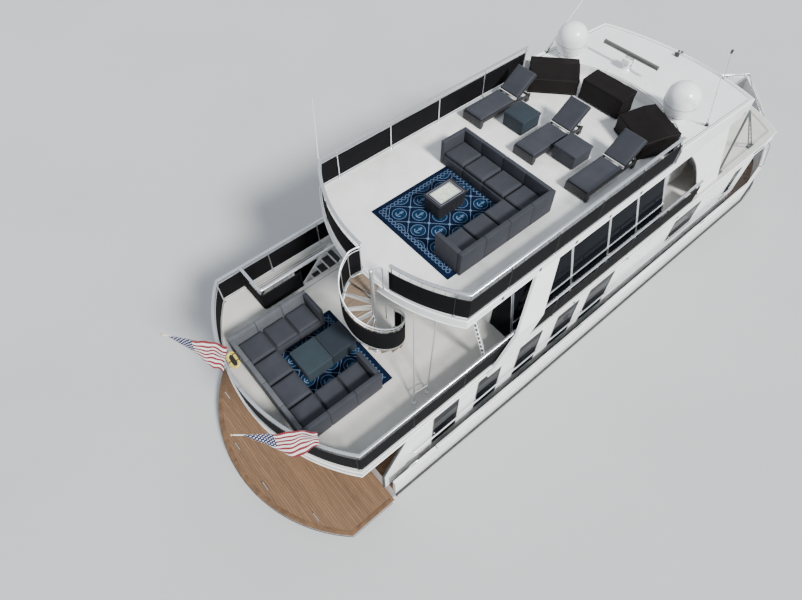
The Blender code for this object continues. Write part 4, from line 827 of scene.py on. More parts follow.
for name, x, low, high in DOORS:
    pane, pull, seal = bmesh.new(), bmesh.new(), bmesh.new()
    block(pane, (x + 0.018, -0.855, low + 0.165), (x + 0.028, -0.045, high - 0.085), 0.0)
    for spot in (-0.845, -0.055):
        bar(seal, [(x + 0.015, spot, low + 0.17), (x + 0.015, spot, high - 0.09)], 0.007, sides=6)
    for z in (low + 0.175, high - 0.095):
        bar(seal, [(x + 0.015, -0.85, z), (x + 0.015, -0.05, z)], 0.007, sides=6)
    run = [(x - 0.001, -0.885, low + 0.92), (x - 0.035, -0.885, low + 0.92),
           (x - 0.035, -0.885, low + 1.20),
           (x - 0.001, -0.885, low + 1.20)]
    bar(pull, rounded(run, 0.03), 0.010, sides=8)
    finish_cad(name, bright_steel)
    built(pane, name + "_pane", tinted, body=name)
    built(seal, name + "_seal", black_rubber, body=name)
    built(pull, name + "_pull", bright_steel, body=name)


# Side screens: dark tinted panes stand between the leaning posts of deck two and close its
# covered side walks aft. White slotted channels carry the slab at its after corners, with painted
# shade in their slots.
POST_FEET = (-6.30, -3.05, -1.50, -0.16, 1.10)
POST_HEADS = (-6.66, -3.24, -1.74, -0.58, 0.64)
SCREEN_Y = (2.95, 2.56)          # of the posts' middle at the foot and at the head
SCREEN_Z = (3.69, 5.78)
SCREEN_AFT = -5.385
SCREEN_TOP = 5.735
SILL_Z = 4.50
SLAB_BRACKETS = (-5.92, -4.66, -3.37, -2.08, -0.81)


def on_screen(side, foot_x, head_x, z, out=0.0):
    """A point on the leaning plane of the posts, on the line from a foot to a head."""
    share = (z - SCREEN_Z[0]) / (SCREEN_Z[1] - SCREEN_Z[0])
    y = SCREEN_Y[0] + (SCREEN_Y[1] - SCREEN_Y[0]) * share + out
    return Vector((foot_x + (head_x - foot_x) * share, side * y, z))


def pane_of(shape, corners):
    """A flat pane of 6 mm glass through a few corners."""
    verts = [shape.verts.new(corner) for corner in corners]
    made = bmesh.ops.contextual_create(shape, geom=verts)["faces"]
    made[0].normal_update()
    grow(shape, made, made[0].normal * 0.006)


panes, frames, channel, slot_shade_and_brackets = bmesh.new(), bmesh.new(), bmesh.new(), bmesh.new()
for side in (1, -1):
    low, high = SCREEN_Z[0] + 0.015, SCREEN_TOP
    uprights = [(SCREEN_AFT, SCREEN_AFT)] + list(zip(POST_FEET[1:], POST_HEADS[1:]))
    for (foot, head), (next_foot, next_head) in zip(uprights, uprights[1:]):
        corners = [on_screen(side, foot + 0.035, head + 0.035, low),
                   on_screen(side, next_foot - 0.035, next_head - 0.035, low),
                   on_screen(side, next_foot - 0.035, next_head - 0.035, high),
                   on_screen(side, foot + 0.035, head + 0.035, high)]
        pane_of(panes, corners)
        bar(frames, corners + corners[:1], 0.013, sides=6)
    sill = [on_screen(side, SCREEN_AFT, SCREEN_AFT, SILL_Z, 0.028),
            on_screen(side, POST_FEET[-1], POST_HEADS[-1], SILL_Z, 0.028)]
    bar(frames, sill, 0.024, 0.8, 10)
    inner = side * 2.165
    corners = [(SCREEN_AFT, inner, low),
               tuple(on_screen(side, SCREEN_AFT, SCREEN_AFT, low, -0.02)),
               tuple(on_screen(side, SCREEN_AFT, SCREEN_AFT, high, -0.02)),
               (SCREEN_AFT, inner, high)]
    pane_of(panes, corners)
    bar(frames, corners + corners[:1], 0.015, sides=6)
    foot, head = (on_screen(side, POST_FEET[0], POST_HEADS[0], z) for z in SCREEN_Z)
    way = (head - foot).normalized()
    place = Matrix.Translation(foot) @ way.to_track_quat("Z", "Y").to_matrix().to_4x4()
    block(channel, (-0.058, -0.044, 0.03), (0.058, 0.044, 1.98), 0.006, 2, place)
    # Dark blocks through the channel are painted shade inside its slots.
    for k in range(10):
        z = 0.12 + 0.185 * k
        block(slot_shade_and_brackets, (-0.030, -0.046, z), (0.030, 0.046, z + 0.11), 0.002, 1, place)
        block(slot_shade_and_brackets, (-0.060, -0.026, z), (0.060, 0.026, z + 0.11), 0.002, 1, place)
    for x in SLAB_BRACKETS:
        block(slot_shade_and_brackets, (x - 0.035, side * 2.725 - 0.010, 5.90),
              (x + 0.035, side * 2.725 + 0.010, 5.99), 0.004)
built(panes, "side_screen_panes", tinted)
built(frames, "side_screen_frames", bright_steel)
built(channel, "quarter_posts", white)
built(slot_shade_and_brackets, "quarter_post_slot_shade_and_brackets", caulk)
for name in ("side_posts_port", "side_posts_starboard", "stay_poles"):
    finish_cad(name, pale_steel)
finish_cad("gangway_frame", polished("weathered_steel", (0.20, 0.21, 0.21), 0.5))


# Edge trims: dark rubber sections close the raked after edges of the main deck's side walls and
# of the pilothouse wings. The wings are lined with pale wood inside.
WING_BASE = (2.98, 1.60, 3.00, 2.60)    # x at the foot and the head, half width at each

trims = bmesh.new()
for side in (1, -1):
    wing = []
    for k in range(17):
        share = k / 16
        belly = 0.35 * math.sin(math.pi * share) * share
        half = WING_BASE[2] + (WING_BASE[3] - WING_BASE[2]) * share
        wing.append((WING_BASE[0] + (WING_BASE[1] - WING_BASE[0]) * share + belly - 0.01,
                     side * (half - 0.04), 3.69 + 2.10 * share))
    bar(trims, wing, 0.055, 0.8, 10)
    after = [(-9.812, side * 3.08, 1.27), (-9.812, side * 3.08, 2.05),
             (-9.075, side * 3.08, 3.385)]
    bar(trims, rounded(after, 0.10, 6), 0.046, 0.75, 10)
built(trims, "edge_trims", black_rubber)
pilothouse, tree, shader, place = gelcoat("pilothouse_gelcoat")
x, y, z = axes(tree, place)
shell = calc(tree, "SUBTRACT", 3.0 - 0.045 + 3.67 * 0.187, calc(tree, "MULTIPLY", z, 0.187))
inside = every(tree,
               [calc(tree, "LESS_THAN", calc(tree, "ABSOLUTE", y), shell),
                calc(tree, "LESS_THAN", x, 3.55)])
grain = mottle(tree, node(tree, "Mapping", {"Vector": place, "Scale": (1.5, 20.0, 20.0)}), 3.0,
               0.0, 1.0)
lining = mixed(tree, grain, (0.40, 0.30, 0.19), (0.52, 0.41, 0.28))
skin = shader.inputs["Base Color"].links[0].from_socket
tree.links.new(mixed(tree, inside, skin, lining), shader.inputs["Base Color"])
finish_cad("pilothouse_front", pilothouse)


# Side stair: one white moulding of stringers, treads and nosings, up from the side deck to deck
# two. A black rubber pad with five ribs is glued on each tread.
STAIR_FOOT = (-9.48, 1.25)
STAIR_SLOPE = 2.42 / 2.53
STAIR_SIDES = (2.182, 2.818)

pads = bmesh.new()
for k in range(11):
    z = STAIR_FOOT[1] + 2.42 * (k + 1) / 12
    x = STAIR_FOOT[0] + (z - STAIR_FOOT[1]) / STAIR_SLOPE
    reach = min(x + 0.255, -6.98)
    block(pads, (x + 0.022, STAIR_SIDES[0], z), (reach, STAIR_SIDES[1], z + 0.004))
    for rib in range(5):
        middle = x + 0.040 + (reach - x - 0.060) * rib / 4
        bar(pads,
            [(middle, STAIR_SIDES[0] + 0.01, z + 0.004),
             (middle, STAIR_SIDES[1] - 0.01, z + 0.004)], 0.006, 0.7, 5)
built(pads, "stair_tread_pads", black_rubber)


# Guard rails: welded stainless tube with a broad flattened cap, a thinner lacing tube under it and
# a foot plate under each post, bolted to the deck. Black mesh panels, hemmed in webbing, are laced
# to them outboard of the posts.
RAIL_TALL = 0.90
CAP_HALF = 0.043
CAP_THICK = 0.036
POST_RADIUS = 0.017
POST_PITCH = 1.62
LACING_TUBE = (0.77, 0.011)      # height over the deck and radius
LOW_TUBE = (0.04, 0.010)
TUBE_IN = 0.028                  # of the lacing tube, inboard of the cap's middle
PLATE_RADIUS = 0.048
MESH_BAND = (0.055, 0.69)
MESH_OUT = 0.026
MESH_THICK = 0.004
MESH_ROWS = 7
MESH_PITCH = 0.09
TIE_PITCH = 0.27
RAIL_TWO_Y = 3.05
RAIL_TWO_ARC = (-10.35, -11.47)  # x where the arc starts and of its middle
RAIL_TOP_Y = 2.65
RAIL_TOP_ARC = (-6.97, -7.86)
STAIR_GAP = (-0.12, -0.98)


def mirrored(line):
    """A line in plan on the other side of the boat, run the other way."""
    return [(x, -y) for x, y in reversed(line)]


noise.seed_set(7)


def ripple(point, scale, size):
    """A smooth random shift of a point. The seed above makes it the same on every run."""
    return noise.noise_vector(point * scale) * size


def woven(name, colour, threads, roughness, depth=0.0006, share=0.35, sheen=0.03, gloss=0.5):
    """Cloth: crossed sets of threads on the object's own coordinates, and a soft sheen."""
    material, tree, shader, place = new_finish(name, colour, roughness)
    waves = [node(tree, "TexWave", {"Vector": place, "Scale": threads, "Distortion": 0.4},
                  bands_direction=axis) for axis in ("X", "Y", "Z")]
    weave = calc(tree, "ADD", calc(tree, "ADD", waves[0], waves[1]), waves[2])
    weave = calc(tree, "MULTIPLY", weave, 0.333)
    dark = mixed(tree, weave, tuple(c * (1 - share) for c in colour),
                 tuple(c * (1 + share) for c in colour))
    worn = mixed(tree, mottle(tree, place, 3.0, 0.75, 1.0), (0.0, 0.0, 0.0), dark)
    tree.links.new(worn, shader.inputs["Base Color"])
    bumped(tree, shader, weave, depth, 0.6)
    shader.inputs["Sheen Weight"].default_value = sheen
    shader.inputs["Specular IOR Level"].default_value = gloss
    return material


guard_mesh = woven("guard_mesh", (0.0030, 0.0030, 0.0040), 90.0, 0.9, sheen=0.0, gloss=0.15)
black_webbing = woven("black_webbing", (0.008, 0.008, 0.009), 160.0, 0.8, sheen=0.0)


def thickened(piece, thick, side=0.0):
    """Give a sheet its thickness: about its surface, or inwards where the side is -1."""
    solid = piece.modifiers.new("thickness", "SOLIDIFY")
    solid.thickness = thick
    solid.offset = side


def guard_rail(name, lines, floor, solid, laced=None):
    """One guard rail's tubes along its lines in plan, and the panels and hems laced to them."""
    tubes, cloth, hems = bmesh.new(), bmesh.new(), bmesh.new()
    cap_z = floor + RAIL_TALL - CAP_THICK / 2
    foot, head = MESH_BAND
    for line in lines:
        bar(tubes, lifted(line, cap_z), CAP_HALF, CAP_THICK / 2 / CAP_HALF, 12)
        bar(tubes, lifted(offset(line, TUBE_IN), floor + LACING_TUBE[0]), LACING_TUBE[1], sides=6)
        bar(tubes, lifted(line, floor + LOW_TUBE[0]), LOW_TUBE[1], sides=6)
        posts, near = spaced(line, POST_PITCH), spaced(line, 0.05)
        posts[0], posts[-1] = near[1], near[-2]
        for spot in posts:
            bar(tubes, [(*spot, floor), (*spot, cap_z)], POST_RADIUS)
            bar(tubes, [(*spot, floor + 0.001), (*spot, floor + 0.011)], PLATE_RADIUS, sides=16)
    for line in laced or lines:
        inner = offset(line, TUBE_IN)
        outer = spaced(offset(line, -MESH_OUT), MESH_PITCH)
        verts = [cloth.verts.new((*spot, floor + foot)) for spot in outer]
        edges = [cloth.edges.new(pair) for pair in zip(verts, verts[1:])]
        for _ in range(MESH_ROWS):
            edges = next_row(cloth, edges, Matrix.Translation((0, 0, (head - foot) / MESH_ROWS)))
        hem = offset(line, -MESH_OUT - MESH_THICK)
        for low, high in ((foot - 0.005, foot + 0.022), (head - 0.022, head + 0.005)):
            bar(hems, lifted(hem, floor + (low + high) / 2), 0.0045, (high - low) / 0.009, 6)
        knots = spaced(hem, TIE_PITCH)
        for here, after in zip(knots, spaced(inner, TIE_PITCH, len(knots) - 1)):
            bar(hems, [(*here, floor + head - 0.02), (*here, floor + head + 0.03),
                       (*after, floor + LACING_TUBE[0] + 0.014)], 0.006, 0.4, 6)
        for spot in spaced(hem, POST_PITCH):
            bar(hems, [(*spot, floor + foot), (*spot, floor + head)], 0.013, 0.35, 6)
    for vert in cloth.verts:
        vert.co += ripple(vert.co, 2.2, 0.005)
    tubes = built(tubes, name + "_tubes", bright_steel)
    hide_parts(solid)
    hems = built(hems, name + "_hems", black_webbing)
    panels = built(cloth, name + "_mesh", guard_mesh)
    thickened(panels, MESH_THICK)


port_two = [(2.55, RAIL_TWO_Y)] + arc(RAIL_TWO_ARC[0], RAIL_TWO_Y, RAIL_TWO_ARC[1], 1.0, 0.003)
stairwell_rail = rounded([(-9.66, 3.03), (-9.66, 2.20), (-9.66, 2.04), (-9.50, 2.04),
                          (-7.05, 2.04)], 0.12)
stairwell_mesh = stairwell_rail[:-1] + [(-8.45, 2.04)]
guard_rail("deck_two_guard_starboard", [mirrored(port_two)], DECK_TWO, "deck_two_rail_starboard")
guard_rail("deck_two_guard_port", [port_two, stairwell_rail], DECK_TWO, "deck_two_rail_port",
           [port_two, stairwell_mesh])
for label, gap in (("port", STAIR_GAP[0]), ("starboard", -STAIR_GAP[1])):
    line = [(0.50, RAIL_TOP_Y)] + arc(RAIL_TOP_ARC[0], RAIL_TOP_Y, RAIL_TOP_ARC[1], 1.0,
                                      gap / RAIL_TOP_Y, 14)
    guard_rail("top_guard_" + label, [line if label == "port" else mirrored(line)], TOP_DECK,
               "top_rail_" + label)


# Spiral stair: a central tube, wedge treads with brown boards let into bright frames, and a
# helical handrail with balusters that carries a black mesh band on its outside
SPIRAL = (-8.14, -0.84)
SPIRAL_START = 78.0              # degrees
SPIRAL_STEP = 25.0
SPIRAL_TREADS = 11
SPIRAL_RISE = (TOP_DECK - DECK_TWO) / (SPIRAL_TREADS + 1)
LANDING = ((-8.10, -0.88), (-7.885, -0.716), (-7.932, -0.17), (-8.14, -0.135), (-8.297, -0.158),
           (-8.16, -0.79))

tread_board = board("tread_board", (0.190, 0.140, 0.098))
deck_inlay = board("tread_inlay", (0.060, 0.055, 0.040))


def framed(frame, panel, outline, z, border, thick, sunk=0.004):
    """A flat rim of an outline in plan, and the panel inside it."""
    for shape in (frame, panel):
        face = shape.faces.new([shape.verts.new((x, y, z)) for x, y in outline])
        bmesh.ops.inset_region(shape, faces=[face], thickness=border, use_boundary=True,
                               use_even_offset=True)
        around = once(other for vert in face.verts for other in vert.link_faces)
        ring = [other for other in around if other != face]
        if shape is frame:
            bmesh.ops.delete(shape, geom=[face], context="FACES_ONLY")
            grow(shape, ring, (0, 0, -thick))
        else:
            bmesh.ops.delete(shape, geom=ring, context="FACES")
            bmesh.ops.translate(shape, vec=(0, 0, -sunk), verts=face.verts)
            grow(shape, [face], (0, 0, sunk - thick * 0.8))


def wound(degrees, radius, z):
    """A point at a turn and a radius about the stair's tube."""
    turn = math.radians(degrees)
    return Vector((SPIRAL[0] + radius * math.cos(turn), SPIRAL[1] + radius * math.sin(turn), z))


frame_shape, panel, inlay, cloth = bmesh.new(), bmesh.new(), bmesh.new(), bmesh.new()
bar(frame_shape, [(*SPIRAL, DECK_TWO + 0.001), (*SPIRAL, TOP_DECK + 0.86)], 0.045, sides=20)
bar(frame_shape, [(*SPIRAL, DECK_TWO + 0.001), (*SPIRAL, DECK_TWO + 0.016)], 0.12, sides=28)
bmesh.ops.create_uvsphere(frame_shape, u_segments=20, v_segments=12, radius=0.052,
                          matrix=Matrix.Translation((*SPIRAL, TOP_DECK + 0.855)))
framed(frame_shape, panel, LANDING, TOP_DECK - 0.012, 0.035, 0.045, 0.008)
centre = [sum(spot[k] for spot in LANDING) / len(LANDING) for k in (0, 1)]
smaller = [tuple(centre[k] + (spot[k] - centre[k]) * 0.62 for k in (0, 1)) for spot in LANDING]
framed(inlay, bmesh.new(), smaller, TOP_DECK - 0.0175, 0.012, 0.004, 0.0)
for k in range(SPIRAL_TREADS):
    first = SPIRAL_START + SPIRAL_STEP * (k + 0.6)
    last = first + SPIRAL_STEP * 1.15
    z = TOP_DECK - SPIRAL_RISE * (k + 1)
    turns = [first + (last - first) * share for share in (0.0, 0.33, 0.67, 1.0)]
    corners = [(first, 0.05)] + [(turn, 0.70) for turn in turns] + [(last, 0.05)]
    outline = [tuple(wound(turn, radius, 0).xy) for turn, radius in corners]
    framed(frame_shape, panel, outline, z, 0.020, 0.035)
    bar(frame_shape, [wound(last, 0.04, z - 0.006), wound(last, 0.71, z - 0.006)], 0.016)
    bar(frame_shape, [wound(first + 4, 0.03, z - 0.045), wound(first + 14, 0.70, z - 0.045)],
        0.012)
helix = []
for k in range(61):
    turn = k / 60 * (SPIRAL_TREADS + 0.9)
    helix.append(wound(SPIRAL_START - 6 + SPIRAL_STEP * turn, 0.712,
                       TOP_DECK - SPIRAL_RISE * max(0.0, turn - 0.9)))
bar(frame_shape, [point + Vector((0, 0, 0.87)) for point in helix], 0.020, sides=10)
bar(frame_shape, [point + Vector((0, 0, 0.77)) for point in helix], 0.009, sides=6)
bar(frame_shape, [point + Vector((0, 0, -0.02)) for point in helix], 0.034, 0.3, 8)
for point in helix[::5]:
    bar(frame_shape, [point + Vector((0, 0, -0.03)), point + Vector((0, 0, 0.87))], 0.011, sides=6)
end = helix[-1]
hoop = rounded([end + Vector((0, 0, 0.87)), end + Vector((0.0, 0.34, 0.80)),
                end + Vector((0.0, 0.34, 0.0))], 0.16, 6)
bar(frame_shape, [Vector((point.x, point.y, max(point.z, DECK_TWO + 0.002))) for point in hoop],
    0.018)
hoop = rounded([(*SPIRAL, TOP_DECK + 0.30), (SPIRAL[0] + 0.03, SPIRAL[1] - 0.01, TOP_DECK + 0.84),
                (-7.90, -0.92, TOP_DECK + 0.90), (-7.90, -0.93, TOP_DECK + 0.10)], 0.16, 6)
bar(frame_shape, hoop, 0.018)
verts = [cloth.verts.new(point + Vector((0, 0, 0.02))
                         + (point - Vector((*SPIRAL, point.z))).normalized() * 0.014)
         for point in helix]
edges = [cloth.edges.new(pair) for pair in zip(verts, verts[1:])]
for _ in range(5):
    edges = next_row(cloth, edges, Matrix.Translation((0, 0, 0.138)))
stair = built(frame_shape, "spiral_stair_frame", pale_steel)
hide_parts("spiral_stair")
built(panel, "spiral_stair_boards", tread_board)
built(inlay, "spiral_stair_inlay", deck_inlay)
band = built(cloth, "spiral_stair_mesh", guard_mesh)
thickened(band, MESH_THICK)


# Roof gear: the pilothouse roof is a white moulding with a raised lip and a caulked groove inside
# it. On it stand an open radar array, two satellite domes, whip antennas, a horn and a light mast.
ROOF_HALF = 2.68
ROOF_NOSE = (4.45, 4.95)         # where its arc starts and of its middle
ROOF_AFT = (0.63, 2.17)
RADAR = (2.72, 0.58)
RADAR_TOP = 0.34                 # of its pedestal over the roof
DOMES = (("port", 1.85, 2.12), ("starboard", 1.80, -1.70))
DOME_PROFILE = ((0.0, 1.00), (0.08, 0.993), (0.16, 0.972), (0.24, 0.935), (0.31, 0.885),
                (0.365, 0.825), (0.410, 0.750), (0.437, 0.670), (0.445, 0.60), (0.445, 0.44),
                (0.430, 0.35), (0.395, 0.25), (0.35, 0.16), (0.31, 0.10), (0.30, 0.0))
WHIPS = (("starboard", (2.15, -2.50), (0.80, -2.56, 9.10)),
         ("port", (1.45, 2.63), (3.10, 2.63, 7.95)))
LIGHT_MAST = ((4.72, -1.53), (4.88, -1.33, 6.98))
HORN = (4.72, 0.05)

radar_grey = gelcoat("radar_grey", (0.085, 0.085, 0.075), 0.45)[0]


def roof_z(x):
    """Height of the roof's top, which falls a little forward."""
    return 6.50 - 0.28 * (x - 0.60) / 4.35


def on_roof(line, rise):
    """A line in plan laid on the sloping roof, or raised over it."""
    return [(point[0], point[1], roof_z(point[0]) + rise) for point in line]


lip, groove = bmesh.new(), bmesh.new()
nose = arc(ROOF_NOSE[0], ROOF_HALF, ROOF_NOSE[1], -1.0, 1.0, 22)
edge = [(ROOF_AFT[0] + 0.08, -ROOF_HALF - 0.02)] + nose + [(ROOF_AFT[0] + 0.08, ROOF_HALF + 0.02)]
inner = offset(edge, 0.038)
bar(lip, on_roof(inner, 0.004), 0.034, 0.62, 10)
bar(lip, on_roof(offset(edge, 0.165), 0.0), 0.016, 0.7, 8)
bar(groove, on_roof(offset(edge, 0.125), 0.0), 0.011, 0.35, 6)
after = arc(ROOF_AFT[0], ROOF_HALF + 0.02, ROOF_AFT[1], -0.985, 0.985, 26)
bar(lip, on_roof(offset(after, -0.035), 0.0), 0.020, 0.8, 8)
bar(groove, on_roof(offset(after, -0.006), 0.002), 0.007, 0.6, 6)
x, y = RADAR
block(lip, (x - 0.178, y - 0.138, roof_z(x) + RADAR_TOP - 0.15),
      (x + 0.178, y + 0.138, roof_z(x) + RADAR_TOP - 0.003), 0.03, 3)
turned(lip, ((0.0, 0.05), (0.15, 0.05), (0.175, 0.02), (0.21, 0.015), (0.21, -0.05)),
       (x, y, roof_z(x)))
seam(groove, 0.125, (x, y, roof_z(x) + 0.16), 0.006)
for spot in ((x - 0.55, y + 0.25), (x - 0.20, y - 0.9), (x + 0.9, y + 1.1), (x + 1.1, y - 1.6)):
    block(lip, (-0.05, -0.03, 0.0), (0.05, 0.03, 0.018), 0.008, 2,
          Matrix.Translation((*spot, roof_z(spot[0]))))
built(lip, "roof_lip", white)
built(groove, "roof_groove", caulk)

head, scanner = bmesh.new(), bmesh.new()
z = roof_z(x) + RADAR_TOP + 0.0003
block(scanner, (x - 0.052, y - 0.945, z + 0.056), (x + 0.052, y + 0.945, z + 0.164), 0.024, 4)
for side in (-1, 1):
    across = sorted((side * 0.935, side * 0.948))
    block(scanner, (x - 0.058, y + across[0], z + 0.052), (x + 0.058, y + across[1], z + 0.168),
          0.01, 2)
turned(head,
       ((0.0, 0.0), (0.075, 0.0), (0.075, 0.020), (0.052, 0.035), (0.048, 0.055), (0.0, 0.055)),
       (x, y, z), 32)
block(head, (x - 0.06, y - 0.13, z + 0.040), (x + 0.06, y + 0.13, z + 0.062), 0.008, 2)
piece = built(scanner, "radar_scanner", radar_grey, body="radar_array")
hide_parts("radar_array")
built(head, "radar_hub", white, body="radar_array")

for label, x, y in DOMES:
    shell, rings = bmesh.new(), bmesh.new()
    foot = (x, y, roof_z(x - 0.30) + 0.0003)
    turned(shell, DOME_PROFILE, foot)
    turned(shell, ((0.0, 0.005), (0.325, 0.005), (0.325, -0.018), (0.31, -0.05)),
           (x, y, foot[2] - 0.01))
    for vert in shell.verts:
        vert.co.z = max(vert.co.z, roof_z(vert.co.x) + 0.001)
    seam(rings, 0.446, (x, y, foot[2] + 0.445), 0.0045)
    seam(rings, 0.317, (x, y, foot[2] + 0.115), 0.010)
    piece = built(shell, "satellite_dome_shell_" + label, white)
    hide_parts("satellite_dome_" + label)
    built(rings, "satellite_dome_seams_" + label, caulk)

mounts, ferrules, lamp = bmesh.new(), bmesh.new(), bmesh.new()
for label, (x, y), tip in WHIPS:
    foot = Vector((x, y, roof_z(x)))
    up = (Vector(tip) - foot).normalized()
    block(mounts, (-0.055, -0.045, 0.0), (0.055, 0.045, 0.035), 0.01, 2, Matrix.Translation(foot))
    bar(mounts, [foot + Vector((0, 0, 0.03)), foot + up * 0.14], 0.034, sides=14)
    bar(ferrules, [foot + up * 0.14, foot + up * 0.30], 0.021, sides=14)
    bar(ferrules, [foot + up * 1.45, foot + up * 1.52], 0.016, sides=12)
(x, y), top = LIGHT_MAST
foot = Vector((x, y, roof_z(x)))
bar(ferrules, [foot, Vector(top) - Vector((0, 0, 0.09))], 0.014, sides=12)
bar(ferrules, [foot, foot + Vector((0, 0, 0.014))], 0.05, sides=20)
bar(lamp, [Vector(top) - Vector((0, 0, 0.10)), Vector(top)], 0.036, sides=16)
x, y = HORN
for side, long in ((-1, 0.20), (1, 0.16)):
    throat = Vector((x - 0.10, y + side * 0.045, roof_z(x) + 0.085))
    bar(lamp, [throat, throat + Vector((long * 0.7, 0, 0))], 0.014, sides=10)
    bmesh.ops.create_cone(lamp, cap_ends=True, segments=20, radius1=0.016, radius2=0.042,
                          depth=0.06,
                          matrix=Matrix.Translation(throat + Vector((long * 0.7 + 0.02, 0, 0)))
                          @ Matrix.Rotation(math.pi / 2, 4, "Y"))
block(lamp, (x - 0.15, y - 0.07, roof_z(x) + 0.001),
      (x - 0.06, y + 0.07, roof_z(x) + 0.12), 0.02, 2)
built(mounts, "antenna_mounts", black_paint)
built(ferrules, "antenna_ferrules", bright_steel)
built(lamp, "horn_and_masthead_light", black_paint)


# Rugs: navy flat-woven deck rugs with a pale diagonal lattice, an anchor in the disc of each
# cell, a chain of rings round the border and a bound edge. They lie flat under the sofas.
RUG_THICK = 0.012
RUG_HEM = 0.006
RUGS = {"sun_rug": ((-6.60, -1.62), (-3.95, 1.16), TOP_DECK),
        "aft_rug": ((-10.72, -1.74), (-8.36, 0.94), DECK_TWO)}
LATTICE = 0.50
LATTICE_START = (0.38, 0.47)
CHAIN_PITCH = 0.121


def length_of(tree, first, second):
    """The length of a vector in plan from its two parts."""
    squares = [calc(tree, "MULTIPLY", value, value) for value in (first, second)]
    return calc(tree, "SQRT", calc(tree, "ADD", *squares))


def rug_finish(name, low, high):
    """Navy weave between two corners, with its lattice, discs, anchors and border."""
    material, tree, shader, place = new_finish(name, (0.010, 0.030, 0.085), 0.85)
    x, y, _ = axes(tree, place)
    sides = [calc(tree, "SUBTRACT", x, low[0]), calc(tree, "SUBTRACT", high[0], x),
             calc(tree, "SUBTRACT", y, low[1]), calc(tree, "SUBTRACT", high[1], y)]
    edge = every(tree, sides, "MINIMUM")
    diagonals = []
    for operation, start in zip(("ADD", "SUBTRACT"), LATTICE_START):
        run = calc(tree, "MULTIPLY", calc(tree, operation, x, y), math.sqrt(0.5) / LATTICE)
        share = calc(tree, "FRACT", calc(tree, "SUBTRACT", run, start / LATTICE))
        diagonals.append(calc(tree, "MULTIPLY", calc(tree, "SUBTRACT", share, 0.5), LATTICE))
    u, v = diagonals
    away = [calc(tree, "SUBTRACT", LATTICE / 2, calc(tree, "ABSOLUTE", value)) for value in (u, v)]
    line = calc(tree, "LESS_THAN", calc(tree, "MINIMUM", *away), 0.0065)
    knot = calc(tree, "LESS_THAN", length_of(tree, *away), 0.035)
    radius = length_of(tree, u, v)
    disc = calc(tree, "LESS_THAN", radius, 0.175)
    brim = within(tree, radius, 0.178, 0.006)
    ahead = calc(tree, "MULTIPLY", calc(tree, "ADD", u, v), math.sqrt(0.5))
    beside = calc(tree, "MULTIPLY", calc(tree, "SUBTRACT", u, v), math.sqrt(0.5))
    shank = every(tree, [within(tree, beside, 0.0, 0.010), within(tree, ahead, -0.005, 0.085)])
    eye = within(tree, length_of(tree, calc(tree, "SUBTRACT", ahead, 0.098), beside), 0.020, 0.007)
    stock = every(tree, [within(tree, ahead, 0.052, 0.008), within(tree, beside, 0.0, 0.048)])
    arms = every(tree,
                 [within(tree, radius, 0.085, 0.011), calc(tree, "LESS_THAN", ahead, -0.028)])
    anchor = every(tree, [shank, eye, stock, arms], "MAXIMUM")
    cells = []
    for value, corner in ((x, low[0]), (y, low[1])):
        rings = calc(tree, "MULTIPLY", calc(tree, "SUBTRACT", value, corner), 1 / CHAIN_PITCH)
        cells.append(calc(tree, "SUBTRACT", calc(tree, "FRACT", rings), 0.5))
    chain = every(tree,
                  [within(tree, length_of(tree, *cells), 0.40, 0.07),
                   within(tree, edge, CHAIN_PITCH * 1.5, CHAIN_PITCH / 2)])
    inside = calc(tree, "GREATER_THAN", edge, CHAIN_PITCH * 2)
    pale = every(tree, [every(tree, [line, knot, brim, anchor], "MAXIMUM"), inside])
    worn = mottle(tree, place, 40.0, 0.55, 0.95)
    ground = mixed(tree, mottle(tree, place, 3.0, 0.0, 1.0), (0.0006, 0.0045, 0.017),
                   (0.0012, 0.008, 0.028))
    shader.inputs["Specular IOR Level"].default_value = 0.1
    ground = mixed(tree, every(tree, [disc, inside]), ground, (0.0025, 0.019, 0.050))
    tint = mixed(tree, calc(tree, "MULTIPLY", pale, worn), ground, (0.15, 0.23, 0.36))
    tint = mixed(tree, calc(tree, "MULTIPLY", chain, worn), tint, (0.12, 0.19, 0.31))
    tree.links.new(tint, shader.inputs["Base Color"])
    bumped(tree, shader, node(tree, "TexNoise", {"Vector": place, "Scale": 260.0, "Detail": 2.0}),
           0.002, 0.7)
    return material


for name, (low, high, deck) in RUGS.items():
    shape, edging = bmesh.new(), bmesh.new()
    x0, y0, x1, y1 = low[0] + RUG_HEM, low[1] + RUG_HEM, high[0] - RUG_HEM, high[1] - RUG_HEM
    block(shape, (x0, y0, deck + 0.0005), (x1, y1, deck + RUG_THICK - 0.002), 0.003)
    start = ((low[0] + high[0]) / 2, y0)
    loop = lifted([start, (x1, y0), (x1, y1), (x0, y1), (x0, y0), start], deck + RUG_HEM)
    bar(edging, rounded(loop, 0.02, 3), 0.0055, sides=6)
    binding = built(edging, name + "_binding", black_webbing)
    piece = built(shape, name + "_cloth", rug_finish(name, low, high))
    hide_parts(name)


# Sofas: boxy modules on a shared outside line, upholstered in slate outdoor cloth, with one
# loose seat cushion to a module. Seams are the real gaps between modules, and arms close the ends.
SOFA_DEEP = 0.86
SOFA_TALL = 0.71
SOFA_BACK = 0.12
SEAT_FRAME = 0.285
CUSHION_THICK = 0.125
MODULE_GAP = 0.007
SUN_SOFA = ((-6.33, -1.72), (-3.23, 1.38))       # its corners in plan
AFT_SOFA = ((-11.02, -1.80), (-8.72, 1.46))


def upholstery(name, colour):
    """Closely woven outdoor cloth."""
    return woven(name, colour, 130.0, 0.8, share=0.18)


slate = upholstery("slate_cloth", (0.023, 0.026, 0.036))
# A paler copy of the slate cloth: painted light for the sunlit backs of the aft sofa.
slate_painted_light = upholstery("slate_cloth_painted_light", (0.080, 0.086, 0.098))


